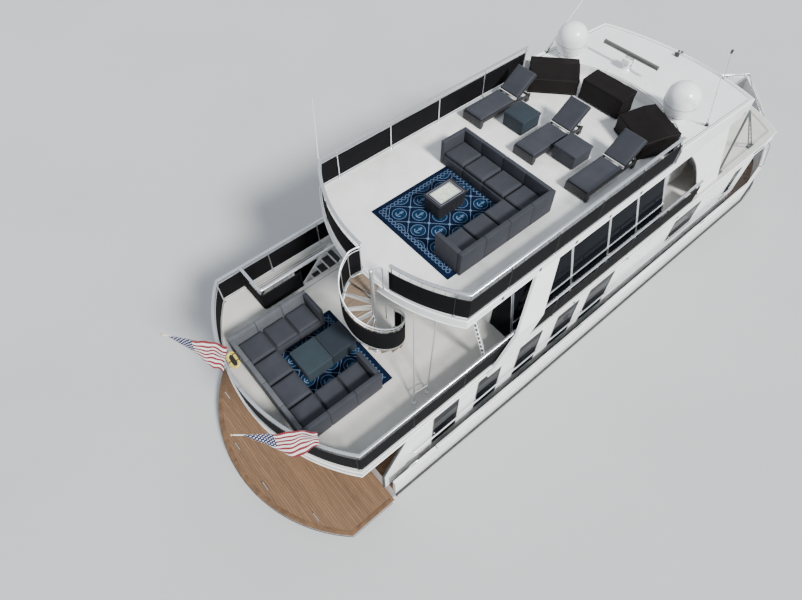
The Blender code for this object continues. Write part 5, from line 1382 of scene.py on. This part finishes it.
def evaluated(piece):
    """A piece with its modifiers worked out."""
    return piece.evaluated_get(bpy.context.evaluated_depsgraph_get())


def cushion_form(long, wide, thick, puff=0.012):
    """A stuffed pad centred on its bottom face. Cloth under pressure swells it, capped at puff."""
    shape = bmesh.new()
    block(shape, (-long / 2, -wide / 2, 0.0), (long / 2, wide / 2, thick), 0.022, 3)
    mesh = bpy.data.meshes.new("cushion")
    bmesh.ops.recalc_face_normals(shape, faces=shape.faces)
    shape.to_mesh(mesh)
    shape.free()
    pad = bpy.data.objects.new("cushion", mesh)
    bpy.context.scene.collection.objects.link(pad)
    remesh = pad.modifiers.new("remesh", "REMESH")
    remesh.mode, remesh.voxel_size = "VOXEL", 0.03
    mesh = bpy.data.meshes.new_from_object(evaluated(pad))
    pad.modifiers.clear()
    pad.data = mesh
    rest = [vert.co.copy() for vert in mesh.vertices]
    cloth = pad.modifiers.new("cloth", "CLOTH")
    cloth.settings.quality = 5
    cloth.settings.use_pressure = True
    cloth.settings.uniform_pressure_force = 4.0
    cloth.settings.effector_weights.gravity = 0.0
    for frame_number in range(1, 21):
        bpy.context.scene.frame_set(frame_number)
    blown = evaluated(pad)
    swollen = [vert.co.copy() for vert in blown.data.vertices]
    pad.modifiers.clear()
    bpy.context.scene.frame_set(1)
    for vert, home, now in zip(mesh.vertices, rest, swollen):
        shift = now - home
        if shift.length > puff:
            shift = shift.normalized() * puff
        if home.z < 0.02:
            shift.z = 0.0
        vert.co = home + shift
    finer = pad.modifiers.new("finer", "SUBSURF")
    finer.levels = finer.render_levels = 1
    mesh = bpy.data.meshes.new_from_object(evaluated(pad))
    bpy.data.objects.remove(pad)
    mesh.shade_smooth()
    return mesh


def cushions(name, form, size, spots, material):
    """One padded piece of several cushions, each the form scaled a little to fit its place."""
    shape = bmesh.new()
    for place, (long, wide) in spots:
        before = set(shape.verts)
        shape.from_mesh(form)
        fitted = place @ Matrix.Diagonal((long / size[0], wide / size[1], 1.0, 1.0))
        bmesh.ops.transform(shape, matrix=fitted,
                            verts=[v for v in shape.verts if v not in before])
    piece = built(shape, name, material, crease=60)
    return piece


def module_run(shape, start, end, low, high, inner, outer, count, along="x"):
    """A row of upholstered blocks between start and end along one axis."""
    step = (end - start) / count
    for k in range(count):
        first, last = start + step * k + MODULE_GAP / 2, start + step * (k + 1) - MODULE_GAP / 2
        a, b = (first, inner, low), (last, outer, high)
        if along == "y":
            a, b = (inner, first, low), (outer, last, high)
        block(shape, a, b, 0.016, 3)


SEAT_WIDE = SOFA_DEEP - SOFA_BACK - 0.01
SEAT_FORM = (0.765, SEAT_WIDE - 0.01)

seat_form = cushion_form(SEAT_FORM[0] - 0.02, SEAT_FORM[1] - 0.02, CUSHION_THICK - 0.012)


def seat(x_low, x_high, y_low, y_high, z):
    """Where one cushion goes, and its size, less the seam round it."""
    place = Matrix.Translation(((x_low + x_high) / 2, (y_low + y_high) / 2, z))
    return place, (x_high - x_low - 0.014, y_high - y_low - 0.014)


(x0, y0), (x1, y1) = SUN_SOFA
floor = TOP_DECK + RUG_THICK
backs, frames = bmesh.new(), bmesh.new()
low, high, seat_z = floor + 0.012, floor + SOFA_TALL, floor + SEAT_FRAME + 0.003
inner_x, inner_y = x1 - SOFA_DEEP, y0 + SOFA_DEEP
module_run(backs, x0, x1, low, high, y0, y0 + SOFA_BACK, 4)
module_run(backs, y0 + SOFA_BACK, y1, low, high, x1 - SOFA_BACK, x1, 4, "y")
block(backs, (x0, y0 + SOFA_BACK + 0.004, low), (x0 + SOFA_BACK, inner_y, high), 0.016, 3)
block(backs, (inner_x, y1 - SOFA_BACK, low), (x1 - SOFA_BACK - 0.004, y1, high), 0.016, 3)
module_run(frames, x0 + SOFA_BACK + 0.003, inner_x, low, floor + SEAT_FRAME,
           y0 + SOFA_BACK + 0.003, inner_y - 0.01, 3)
module_run(frames, y0 + SOFA_BACK + 0.003, y1 - SOFA_BACK - 0.003, low, floor + SEAT_FRAME,
           inner_x, x1 - SOFA_BACK - 0.003, 4, "y")
line = [x0 + SOFA_BACK + (inner_x - x0 - SOFA_BACK) * k / 3 for k in range(4)]
spots = [seat(a, b, y0 + SOFA_BACK, inner_y, seat_z) for a, b in zip(line, line[1:])]
line = [y0 + SOFA_BACK] + [inner_y + (y1 - SOFA_BACK - inner_y) * k / 3 for k in range(4)]
spots += [seat(inner_x, x1 - SOFA_BACK, a, b, seat_z) for a, b in zip(line, line[1:])]
sofa = built(backs, "sun_sofa_backs", slate)
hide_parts("sun_sofa")
built(frames, "sun_sofa_frames", slate)
cushions("sun_sofa_seats", seat_form, SEAT_FORM, spots, slate)

(x0, y0), (x1, y1) = AFT_SOFA
floor = DECK_TWO + RUG_THICK
backs, frames, pale = bmesh.new(), bmesh.new(), bmesh.new()
low, high, seat_z = floor + 0.012, floor + SOFA_TALL, floor + SEAT_FRAME + 0.003
inner_x, port_y, starboard_y = x0 + SOFA_DEEP, y1 - SOFA_DEEP, y0 + SOFA_DEEP
module_run(backs, x0, x1, low, high, y0, y0 + SOFA_BACK, 3)
# The port and after backs take the paler cloth, painted light on their sunlit faces.
module_run(pale, x0, x1, low, high, y1 - SOFA_BACK, y1, 3)
module_run(pale, y0 + SOFA_BACK, y1 - SOFA_BACK, low, high, x0, x0 + SOFA_BACK, 4, "y")
arm_x = x1 - SOFA_BACK
block(backs, (arm_x, y0 + SOFA_BACK + 0.004, low), (x1, starboard_y, high), 0.016, 3)
block(backs, (arm_x, port_y, low), (x1, y1 - SOFA_BACK - 0.004, high), 0.016, 3)
spots = []
for edge, way in ((starboard_y, -1), (port_y, 1)):
    inner, outer = sorted((edge, edge + way * (SOFA_DEEP - SOFA_BACK - 0.003)))
    module_run(frames, inner_x, arm_x - 0.003, low, floor + SEAT_FRAME, inner, outer, 2)
    middle = (inner_x + arm_x) / 2
    spots += [seat(inner_x, middle, inner, outer, seat_z),
              seat(middle, arm_x, inner, outer, seat_z)]
module_run(frames, y0 + SOFA_BACK + 0.003, y1 - SOFA_BACK - 0.003, low, floor + SEAT_FRAME,
           x0 + SOFA_BACK + 0.003, inner_x, 4, "y")
line = [y0 + SOFA_BACK, starboard_y, (starboard_y + port_y) / 2, port_y, y1 - SOFA_BACK]
spots += [seat(x0 + SOFA_BACK, inner_x, a, b, seat_z) for a, b in zip(line, line[1:])]
sofa = built(backs, "aft_sofa_backs", slate)
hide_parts("aft_sofa")
built(pale, "aft_sofa_painted_light_backs", slate_painted_light)
built(frames, "aft_sofa_frames", slate)
cushions("aft_sofa_seats", seat_form, SEAT_FORM, spots, slate)


# Loungers: a black frame with a woven skirt, two slate pads and a raised back on a white hinge
# bar. The frame runs on under the back to a wheel box at the head.
LOUNGERS = (("port", 1.98), ("middle", 0.05), ("starboard", -1.74))
LOUNGER_X = (-2.36, -0.95, -0.22)        # foot, hinge and head
LOUNGER_HALF = 0.36
LOUNGER_BED_Z = 0.34
LOUNGER_HEAD_Z = 0.86
PAD_THICK = 0.07

wicker = woven("dark_wicker", (0.011, 0.012, 0.015), 45.0, 0.6, 0.002, 0.5)
white_trim = gelcoat("white_trim", (0.72, 0.72, 0.70), 0.4)[0]
foot_x, hinge_x, head_x = LOUNGER_X
back_turn = math.atan2(LOUNGER_HEAD_Z - LOUNGER_BED_Z, head_x - hinge_x)
back_long = math.hypot(LOUNGER_HEAD_Z - LOUNGER_BED_Z, head_x - hinge_x)
BED_FORM = (hinge_x - foot_x, 2 * LOUNGER_HALF)

bed_form = cushion_form(BED_FORM[0] - 0.02, BED_FORM[1] - 0.02, PAD_THICK - 0.01, 0.010)
for label, y in LOUNGERS:
    frame_shape, trim = bmesh.new(), bmesh.new()
    base = Matrix.Translation((0.0, y, TOP_DECK))
    top = LOUNGER_BED_Z - PAD_THICK
    block(frame_shape, (foot_x + 0.01, -0.35, 0.04), (foot_x + 0.15, 0.35, top), 0.02, 3, base)
    block(frame_shape, (foot_x + 0.10, -0.35, top - 0.11), (hinge_x + 0.02, 0.35, top), 0.012, 2,
          base)
    for side in (-1, 1):
        across = sorted((side * 0.31, side * 0.355))
        block(frame_shape, (hinge_x, across[0], top - 0.10),
              (head_x - 0.10, across[1], top - 0.02), 0.01, 2, base)
        across = sorted((side * 0.27, side * 0.355))
        block(frame_shape, (head_x - 0.24, across[0], 0.001),
              (head_x - 0.11, across[1], top - 0.03), 0.02, 3, base)
        block(frame_shape, (foot_x + 0.02, across[0], 0.001), (foot_x + 0.10, across[1], 0.06),
              0.01, 2, base)
        prop_y = side * 0.30
        bar(frame_shape, [base @ Vector((head_x - 0.20, prop_y, top - 0.06)),
                          base @ Vector((head_x - 0.26, prop_y, LOUNGER_HEAD_Z - 0.30))], 0.010,
            sides=6)
    block(frame_shape, (head_x - 0.20, -0.31, top - 0.09), (head_x - 0.14, 0.31, top - 0.04), 0.01,
          2, base)
    raised = (base @ Matrix.Translation((hinge_x, 0.0, LOUNGER_BED_Z))
              @ Matrix.Rotation(-back_turn, 4, "Y"))
    block(frame_shape, (0.02, -0.35, -PAD_THICK - 0.035), (back_long - 0.03, 0.35, -PAD_THICK),
          0.012, 2, raised)
    bar(trim,
        [base @ Vector((hinge_x + 0.015, side * 0.34, LOUNGER_BED_Z + 0.012)) for side in (-1, 1)],
        0.012)
    piece = built(frame_shape, "lounger_frame_" + label, wicker)
    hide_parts("lounger_" + label)
    built(trim, "lounger_hinge_" + label, white_trim)
    bed = base @ Matrix.Translation(((foot_x + hinge_x) / 2, 0.0, top + 0.002))
    back = raised @ Matrix.Translation((back_long / 2 + 0.005, 0.0, -PAD_THICK + 0.002))
    cushions("lounger_pad_" + label, bed_form, BED_FORM,
             [(bed, (BED_FORM[0] - 0.02, BED_FORM[1])), (back, (back_long - 0.05, BED_FORM[1]))],
             slate)


# Low tables: two square ottomans between the loungers, and a pair side by side in the aft seats,
# each a firm upholstered block with a lid that laps it
CUBES = (("port", (-1.71, 0.68), 0.73), ("starboard", (-1.71, -1.12), 0.73))
AFT_TABLE_LOW = (-10.02, -0.54)
AFT_TABLE_SIZE = (1.50, 0.81)
TABLE_TALL = 0.45

teal = upholstery("teal_cloth", (0.008, 0.018, 0.028))
teal_pale = upholstery("teal_cloth_faded", (0.014, 0.028, 0.038))
teal_dark = upholstery("teal_cloth_dark", (0.005, 0.012, 0.021))


def ottoman(name, low, size, floor, material):
    """A block on short feet with a lapped lid."""
    shape = bmesh.new()
    (x, y), (long, wide) = low, size
    block(shape, (x + 0.012, y + 0.012, floor + 0.02),
          (x + long - 0.012, y + wide - 0.012, floor + 0.385), 0.02, 3)
    block(shape, (x, y, floor + 0.375), (x + long, y + wide, floor + TABLE_TALL), 0.024, 4)
    for across in (0.05, long - 0.10):
        for up in (0.05, wide - 0.10):
            block(shape, (x + across, y + up, floor + 0.001),
                  (x + across + 0.05, y + up + 0.05, floor + 0.03))
    return built(shape, name, material)


for label, low, size in CUBES:
    cube = ottoman("cube_" + label, low, (size, size), TOP_DECK,
                   teal if label == "port" else slate)
    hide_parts("cube_table_" + label)
half_table = AFT_TABLE_SIZE[0] / 2
first = ottoman("aft_table_after", AFT_TABLE_LOW, (half_table - 0.004, AFT_TABLE_SIZE[1]),
                DECK_TWO + RUG_THICK, teal_pale)
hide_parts("aft_table")
ottoman("aft_table_fore", (AFT_TABLE_LOW[0] + half_table + 0.004, AFT_TABLE_LOW[1] + 0.02),
        (half_table - 0.004, AFT_TABLE_SIZE[1] - 0.04), DECK_TWO + RUG_THICK, teal_dark)


# Fire table: a dark boarded cabinet with a thin powder-coated rim raised round its top. A steel
# burner tray is let into the top and filled with pale tumbled glass beads.
FIRE_LOW = (-5.55, -0.18)
FIRE_SIZE = (0.92, 0.60)
TRAY = ((-5.41, -0.08), (-4.77, 0.32))

charcoal = woven("charcoal_board", (0.010, 0.010, 0.013), 25.0, 0.5, 0.0003, 0.12)
lavender = polished("grey_rim", (0.30, 0.29, 0.36), 0.35)


def tumbled_glass(name):
    """Glass beads in pale green and white."""
    material, tree, shader, place = new_finish(name, (0.6, 0.66, 0.52), 0.15)
    cells = node(tree, "TexVoronoi", {"Vector": place, "Scale": 45.0}, feature="F1")
    tint = mixed(tree, cells, (0.80, 0.83, 0.76), (0.30, 0.40, 0.22))
    tint = mixed(tree, mottle(tree, place, 9.0, 0.0, 0.6), tint, (0.85, 0.86, 0.84))
    tree.links.new(tint, shader.inputs["Base Color"])
    bumped(tree, shader, cells, 0.012, 1.0)
    return material


(x, y), (long, wide) = FIRE_LOW, FIRE_SIZE
floor = TOP_DECK + RUG_THICK
(tray_x, tray_y), (tray_far_x, tray_far_y) = TRAY
cabinet, rim, tray, glass = bmesh.new(), bmesh.new(), bmesh.new(), bmesh.new()
block(cabinet, (x + 0.03, y + 0.03, floor + 0.001),
      (x + long - 0.03, y + wide - 0.03, floor + 0.40), 0.01)
for spot in range(1, 6):
    across = x + 0.03 + spot * (long - 0.06) / 6
    block(cabinet, (across - 0.008, y + 0.022, floor + 0.03),
          (across + 0.008, y + wide - 0.022, floor + 0.38), 0.004)
edge = [(x, y), (x + long, y), (x + long, y + wide), (x, y + wide)]
hole = [(tray_x, tray_y), (tray_far_x, tray_y), (tray_far_x, tray_far_y), (tray_x, tray_far_y)]
for (a, b), (c, d) in zip(zip(edge, edge[1:] + edge[:1]), zip(hole, hole[1:] + hole[:1])):
    slab = cabinet.faces.new([cabinet.verts.new((*spot, floor + 0.41)) for spot in (a, b, d, c)])
    grow(cabinet, [slab], (0, 0, 0.04))
for shift, radius in ((0.062, 0.009), (0.012, 0.009)):
    loop = [(tray_x - shift, tray_y - shift), (tray_far_x + shift, tray_y - shift),
            (tray_far_x + shift, tray_far_y + shift), (tray_x - shift, tray_far_y + shift)]
    for a, b in zip(loop, loop[1:] + loop[:1]):
        bar(rim if shift > 0.05 else tray, lifted((a, b), floor + 0.452), radius, 0.6, 6)
for a, b in zip(hole, hole[1:] + hole[:1]):
    bar(tray, [(*a, floor + 0.42), (*b, floor + 0.42)], 0.006, 5.0, 6)
bmesh.ops.create_grid(glass, x_segments=32, y_segments=20, size=0.5,
                      matrix=Matrix.Translation(((tray_x + tray_far_x) / 2,
                                                 (tray_y + tray_far_y) / 2, floor + 0.425))
                      @ Matrix.Diagonal((tray_far_x - tray_x, tray_far_y - tray_y, 1, 1)))
for vert in glass.verts:
    vert.co.z += noise.noise(vert.co * 22) * 0.009
piece = built(cabinet, "fire_table_cabinet", charcoal, crease=25)
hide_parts("fire_table")
built(rim, "fire_table_rim", lavender)
built(tray, "fire_table_tray", bright_steel)
built(glass, "fire_table_beads", tumbled_glass("glass_beads"))


# Covered chairs: stowed seats under fitted brown covers, higher over the backs, with creased
# edges, loose skirts and a drawstring near the deck
# columns: name, centre, length, width, turn in degrees, drop of the top towards the seat
COVERED = (("port", (0.72, 1.70), 0.90, 1.45, 43, 0.20),
           ("middle", (1.19, 0.12), 0.70, 1.42, 0, 0.04),
           ("starboard", (0.68, -1.60), 1.10, 1.35, -24, 0.14))
COVER_TALL = 0.66

brown_cover = woven("brown_cover", (0.0060, 0.0042, 0.0040), 150.0, 0.6, share=0.2, sheen=0.0,
                    gloss=0.15)
for label, (x, y), long, wide, turn, drop in COVERED:
    shape, cord_shape = bmesh.new(), bmesh.new()
    block(shape, (-long / 2 + 0.01, -wide / 2 + 0.01, 0.012),
          (long / 2 - 0.01, wide / 2 - 0.01, COVER_TALL - 0.004), 0.03, 3)
    low_z = min(vert.co.z for vert in shape.verts)
    bottom = [face for face in shape.faces if face.calc_center_median().z < low_z + 0.031]
    bmesh.ops.delete(shape, geom=bottom, context="FACES")
    edges = [edge for edge in shape.edges if edge.calc_length() > 0.2]
    bmesh.ops.subdivide_edges(shape, edges=edges, cuts=14, use_grid_fill=True)
    place = Matrix.Translation((x, y, TOP_DECK)) @ Matrix.Rotation(math.radians(turn), 4, "Z")
    for vert in shape.verts:
        point = vert.co
        high_share = max(0.0, point.z / COVER_TALL)
        front = max(0.0, min(1.0, 0.5 - point.x / long))
        point.z -= drop * high_share * max(0.0, front - 0.35) / 0.65
        inward = 0.014 * math.sin(math.pi * high_share)
        point.x -= math.copysign(inward, point.x) if abs(point.x) > long / 2 - 0.05 else 0.0
        point.y -= math.copysign(inward, point.y) if abs(point.y) > wide / 2 - 0.05 else 0.0
        if high_share > 0.9:
            inner = min(long / 2 - abs(point.x), wide / 2 - abs(point.y))
            point.z -= 0.016 * min(1.0, inner / 0.2)
        creased = ripple(point + Vector((x, y, 0)), 5.0, 0.007)
        point += creased + ripple(point + Vector((y, x, 0)), 13.0, 0.003)
        point.x = max(-long / 2, min(long / 2, point.x))
        point.y = max(-wide / 2, min(wide / 2, point.y))
        point.z = max(0.006, min(COVER_TALL, point.z))
    bmesh.ops.transform(shape, matrix=place, verts=shape.verts)
    out_x, out_y = long / 2 - 0.012, wide / 2 - 0.012
    loop = lifted([(-out_x, 0), (-out_x, -out_y), (out_x, -out_y), (out_x, out_y),
                   (-out_x, out_y), (-out_x, 0.0)], 0.07)
    bar(cord_shape, [place @ point for point in rounded(loop, 0.03, 3)], 0.005, sides=6)
    hem = built(cord_shape, "chair_cover_hem_" + label, black_webbing)
    piece = built(shape, "chair_cover_" + label, brown_cover)
    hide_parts("covered_chair_" + label)
    thickened(piece, 0.002, -1.0)


# Ensigns: sewn nylon flags of 30 by 48 inches on white staffs, clamped to the guard rail each
# side. Each is laced along its staff, hangs to starboard of it and folds forward over itself.
# columns: name, side, bare staff over the flag, and the flag's fold, peak and clew
ENSIGNS = (("port", 1, 0.16, (-11.77, 1.05, 4.75), (-11.16, 0.87, 5.00), (-11.56, 0.58, 4.56)),
           ("starboard", -1, 0.32, (-11.50, -2.25, 4.78), (-10.80, -2.25, 5.20),
            (-10.89, -2.38, 4.73)))
STAFF_FOOT = (-11.26, 1.512, 4.25)
STAFF_TIP = (-12.20, 1.50, 5.80)
FLAG = (1.219, 0.762)

staff_finish = gelcoat("staff_white", (0.78, 0.77, 0.74), 0.35)[0]
brass = polished("brass", (0.72, 0.53, 0.22), 0.3)


def flag_finish(name):
    """Stripes, canton and stars on the cloth's own UV map."""
    material, tree, shader, place = new_finish(name, (0.7, 0.7, 0.7), 0.8)
    u, v, _ = axes(tree, tree.nodes["Texture Coordinate"].outputs["UV"])
    stripe = calc(tree, "MODULO", calc(tree, "FLOOR", calc(tree, "MULTIPLY", v, 13.0)), 2.0)
    tint = mixed(tree, calc(tree, "GREATER_THAN", stripe, 0.5), (0.15, 0.002, 0.009),
                 (0.56, 0.56, 0.56))
    canton = every(tree, [calc(tree, "LESS_THAN", u, 0.4), calc(tree, "GREATER_THAN", v, 6 / 13)])
    tint = mixed(tree, canton, tint, (0.003, 0.006, 0.045))
    stars = []
    for shift in (0.0, 0.5):
        spots = []
        for value, count, start in ((u, 6 / 0.4, 0.0), (v, 5 / (7 / 13), 6 / 13)):
            run = calc(tree, "MULTIPLY", calc(tree, "SUBTRACT", value, start), count)
            share = calc(tree, "FRACT", calc(tree, "ADD", run, shift))
            spots.append(calc(tree, "SUBTRACT", share, 0.5))
        stars.append(calc(tree, "LESS_THAN", length_of(tree, *spots), 0.17))
    tint = mixed(tree, every(tree, [every(tree, stars, "MAXIMUM"), canton]), tint,
                 (0.66, 0.66, 0.70))
    tree.links.new(tint, shader.inputs["Base Color"])
    threads = node(tree, "TexNoise", {"Vector": place, "Scale": 320.0, "Detail": 1.0})
    bumped(tree, shader, threads, 0.0006)
    shader.inputs["Sheen Weight"].default_value = 0.05
    return material


ensign_cloth = flag_finish("ensign_cloth")
for label, side, bare, fold, peak, clew in ENSIGNS:
    foot, tip = (Vector((x, side * y, z)) for x, y, z in (STAFF_FOOT, STAFF_TIP))
    fold, peak, clew = Vector(fold), Vector(peak), Vector(clew)
    way = (foot - tip).normalized()
    staff, fittings, cloth = bmesh.new(), bmesh.new(), bmesh.new()
    bar(staff, [foot, tip], 0.0145, sides=12)
    bmesh.ops.create_uvsphere(fittings, u_segments=16, v_segments=10, radius=0.026,
                              matrix=Matrix.Translation(tip))
    block(fittings, (-0.035, -0.035, -0.02), (0.035, 0.035, 0.10), 0.01, 2,
          Matrix.Translation(foot))
    top = tip + way * bare
    bottom = top + way * FLAG[1]
    normal = (fold - top).cross(peak - top).normalized()
    columns, rows = 64, 32
    paths = []
    for row in range(rows + 1):
        v = row / rows
        corners = [bottom.lerp(top, v), fold.lerp(top, 0.97 * v), clew.lerp(peak, v)]
        paths.append(spaced(rounded(corners, 0.16, 7), 0, columns))
    grid = bmesh.ops.create_grid(cloth, x_segments=columns, y_segments=rows, size=0.5)["verts"]
    layer = cloth.loops.layers.uv.new("flag")
    shares = {vert: (vert.co.x + 0.5, vert.co.y + 0.5) for vert in grid}
    for face in cloth.faces:
        for loop in face.loops:
            loop[layer].uv = shares[loop.vert]
    for vert, (u, v) in shares.items():
        wave = (0.055 * u * math.sin(12 * u + 2.6 * v)
                + 0.026 * u * math.sin(25 * u - 4.5 * v + 1.0))
        crease = 0.035 * u * u * math.sin(8.5 * v + 1.2)
        vert.co = paths[round(v * rows)][round(u * columns)] + normal * (wave + crease)
    staff = built(staff, "ensign_staff_" + label, staff_finish)
    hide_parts("ensign_" + label)
    built(fittings, "ensign_fittings_" + label, brass)
    piece = built(cloth, "ensign_flag_" + label, ensign_cloth, crease=80)
    thickened(piece, 0.002)


# Lifebuoy: a yellow foam horseshoe in a vinyl skin, bound with black webbing, with a dark panel
# inside it that is painted shade behind the ring. It leans in two bent steel hooks that hang on the
# after guard rail.
BUOY = (-11.21, 0.77, 4.465)

buoy_skin, tree, shader, place = new_finish("buoy_vinyl", (0.62, 0.47, 0.05), 0.45)
faded = mixed(tree, mottle(tree, place, 8.0, 0.0, 1.0), (0.66, 0.50, 0.06), (0.55, 0.43, 0.10))
tree.links.new(faded, shader.inputs["Base Color"])
bumped(tree, shader, mottle(tree, place, 30.0, 0.0, 1.0), 0.001)
buoy, straps_and_shade_panel, hooks = bmesh.new(), bmesh.new(), bmesh.new()
lean = (Matrix.Translation(BUOY) @ Matrix.Rotation(math.radians(-3), 4, "Z")
        @ Matrix.Rotation(math.radians(-22), 4, "Y"))
loop = [(-0.09, -0.012), (-0.09, -0.20), (0.09, -0.22), (0.09, 0.22), (-0.09, 0.20),
        (-0.09, 0.012)]
bar(buoy, rounded([lean @ Vector((x, y, 0.0)) for x, y in loop], 0.11, 6), 0.038, 0.8, 12)
# A dark webbing oval inside the horseshoe is painted shade behind the ring.
shade_oval = lean @ Matrix.Translation((0.0, 0.0, -0.014)) @ Matrix.Diagonal((0.068, 0.170, 1.0, 1.0))
bmesh.ops.create_circle(straps_and_shade_panel, cap_ends=True, segments=28, radius=1.0, matrix=shade_oval)
grow(straps_and_shade_panel, list(straps_and_shade_panel.faces), lean.to_3x3() @ Vector((0.0, 0.0, 0.020)))
for x, y in ((0.09, -0.10), (0.09, 0.10), (-0.09, 0.0)):
    hoop = [lean @ Vector((x + 0.048 * math.cos(t), y, 0.042 * math.sin(t)))
            for t in (k * math.tau / 14 for k in range(15))]
    bar(straps_and_shade_panel, hoop, 0.012, 0.35, 6)
for y, rail_x in ((0.67, -11.422), (0.87, -11.389)):
    top = DECK_TWO + RAIL_TALL
    hook = [(rail_x - 0.055, top - 0.04), (rail_x - 0.055, top + 0.007),
            (rail_x + 0.06, top + 0.007), (rail_x + 0.06, 4.41), (-11.300, 4.378),
            (-11.075, 4.469), (-11.055, 4.508)]
    bar(hooks, rounded([(x, y, z) for x, z in hook], 0.02, 3), 0.006, sides=8)
built(buoy, "lifebuoy", buoy_skin)
built(straps_and_shade_panel, "lifebuoy_straps_and_shade_panel", black_webbing)
built(hooks, "lifebuoy_hooks", bright_steel)


size = [[list(corner) for corner in cad_box], [list(corner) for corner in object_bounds()]]
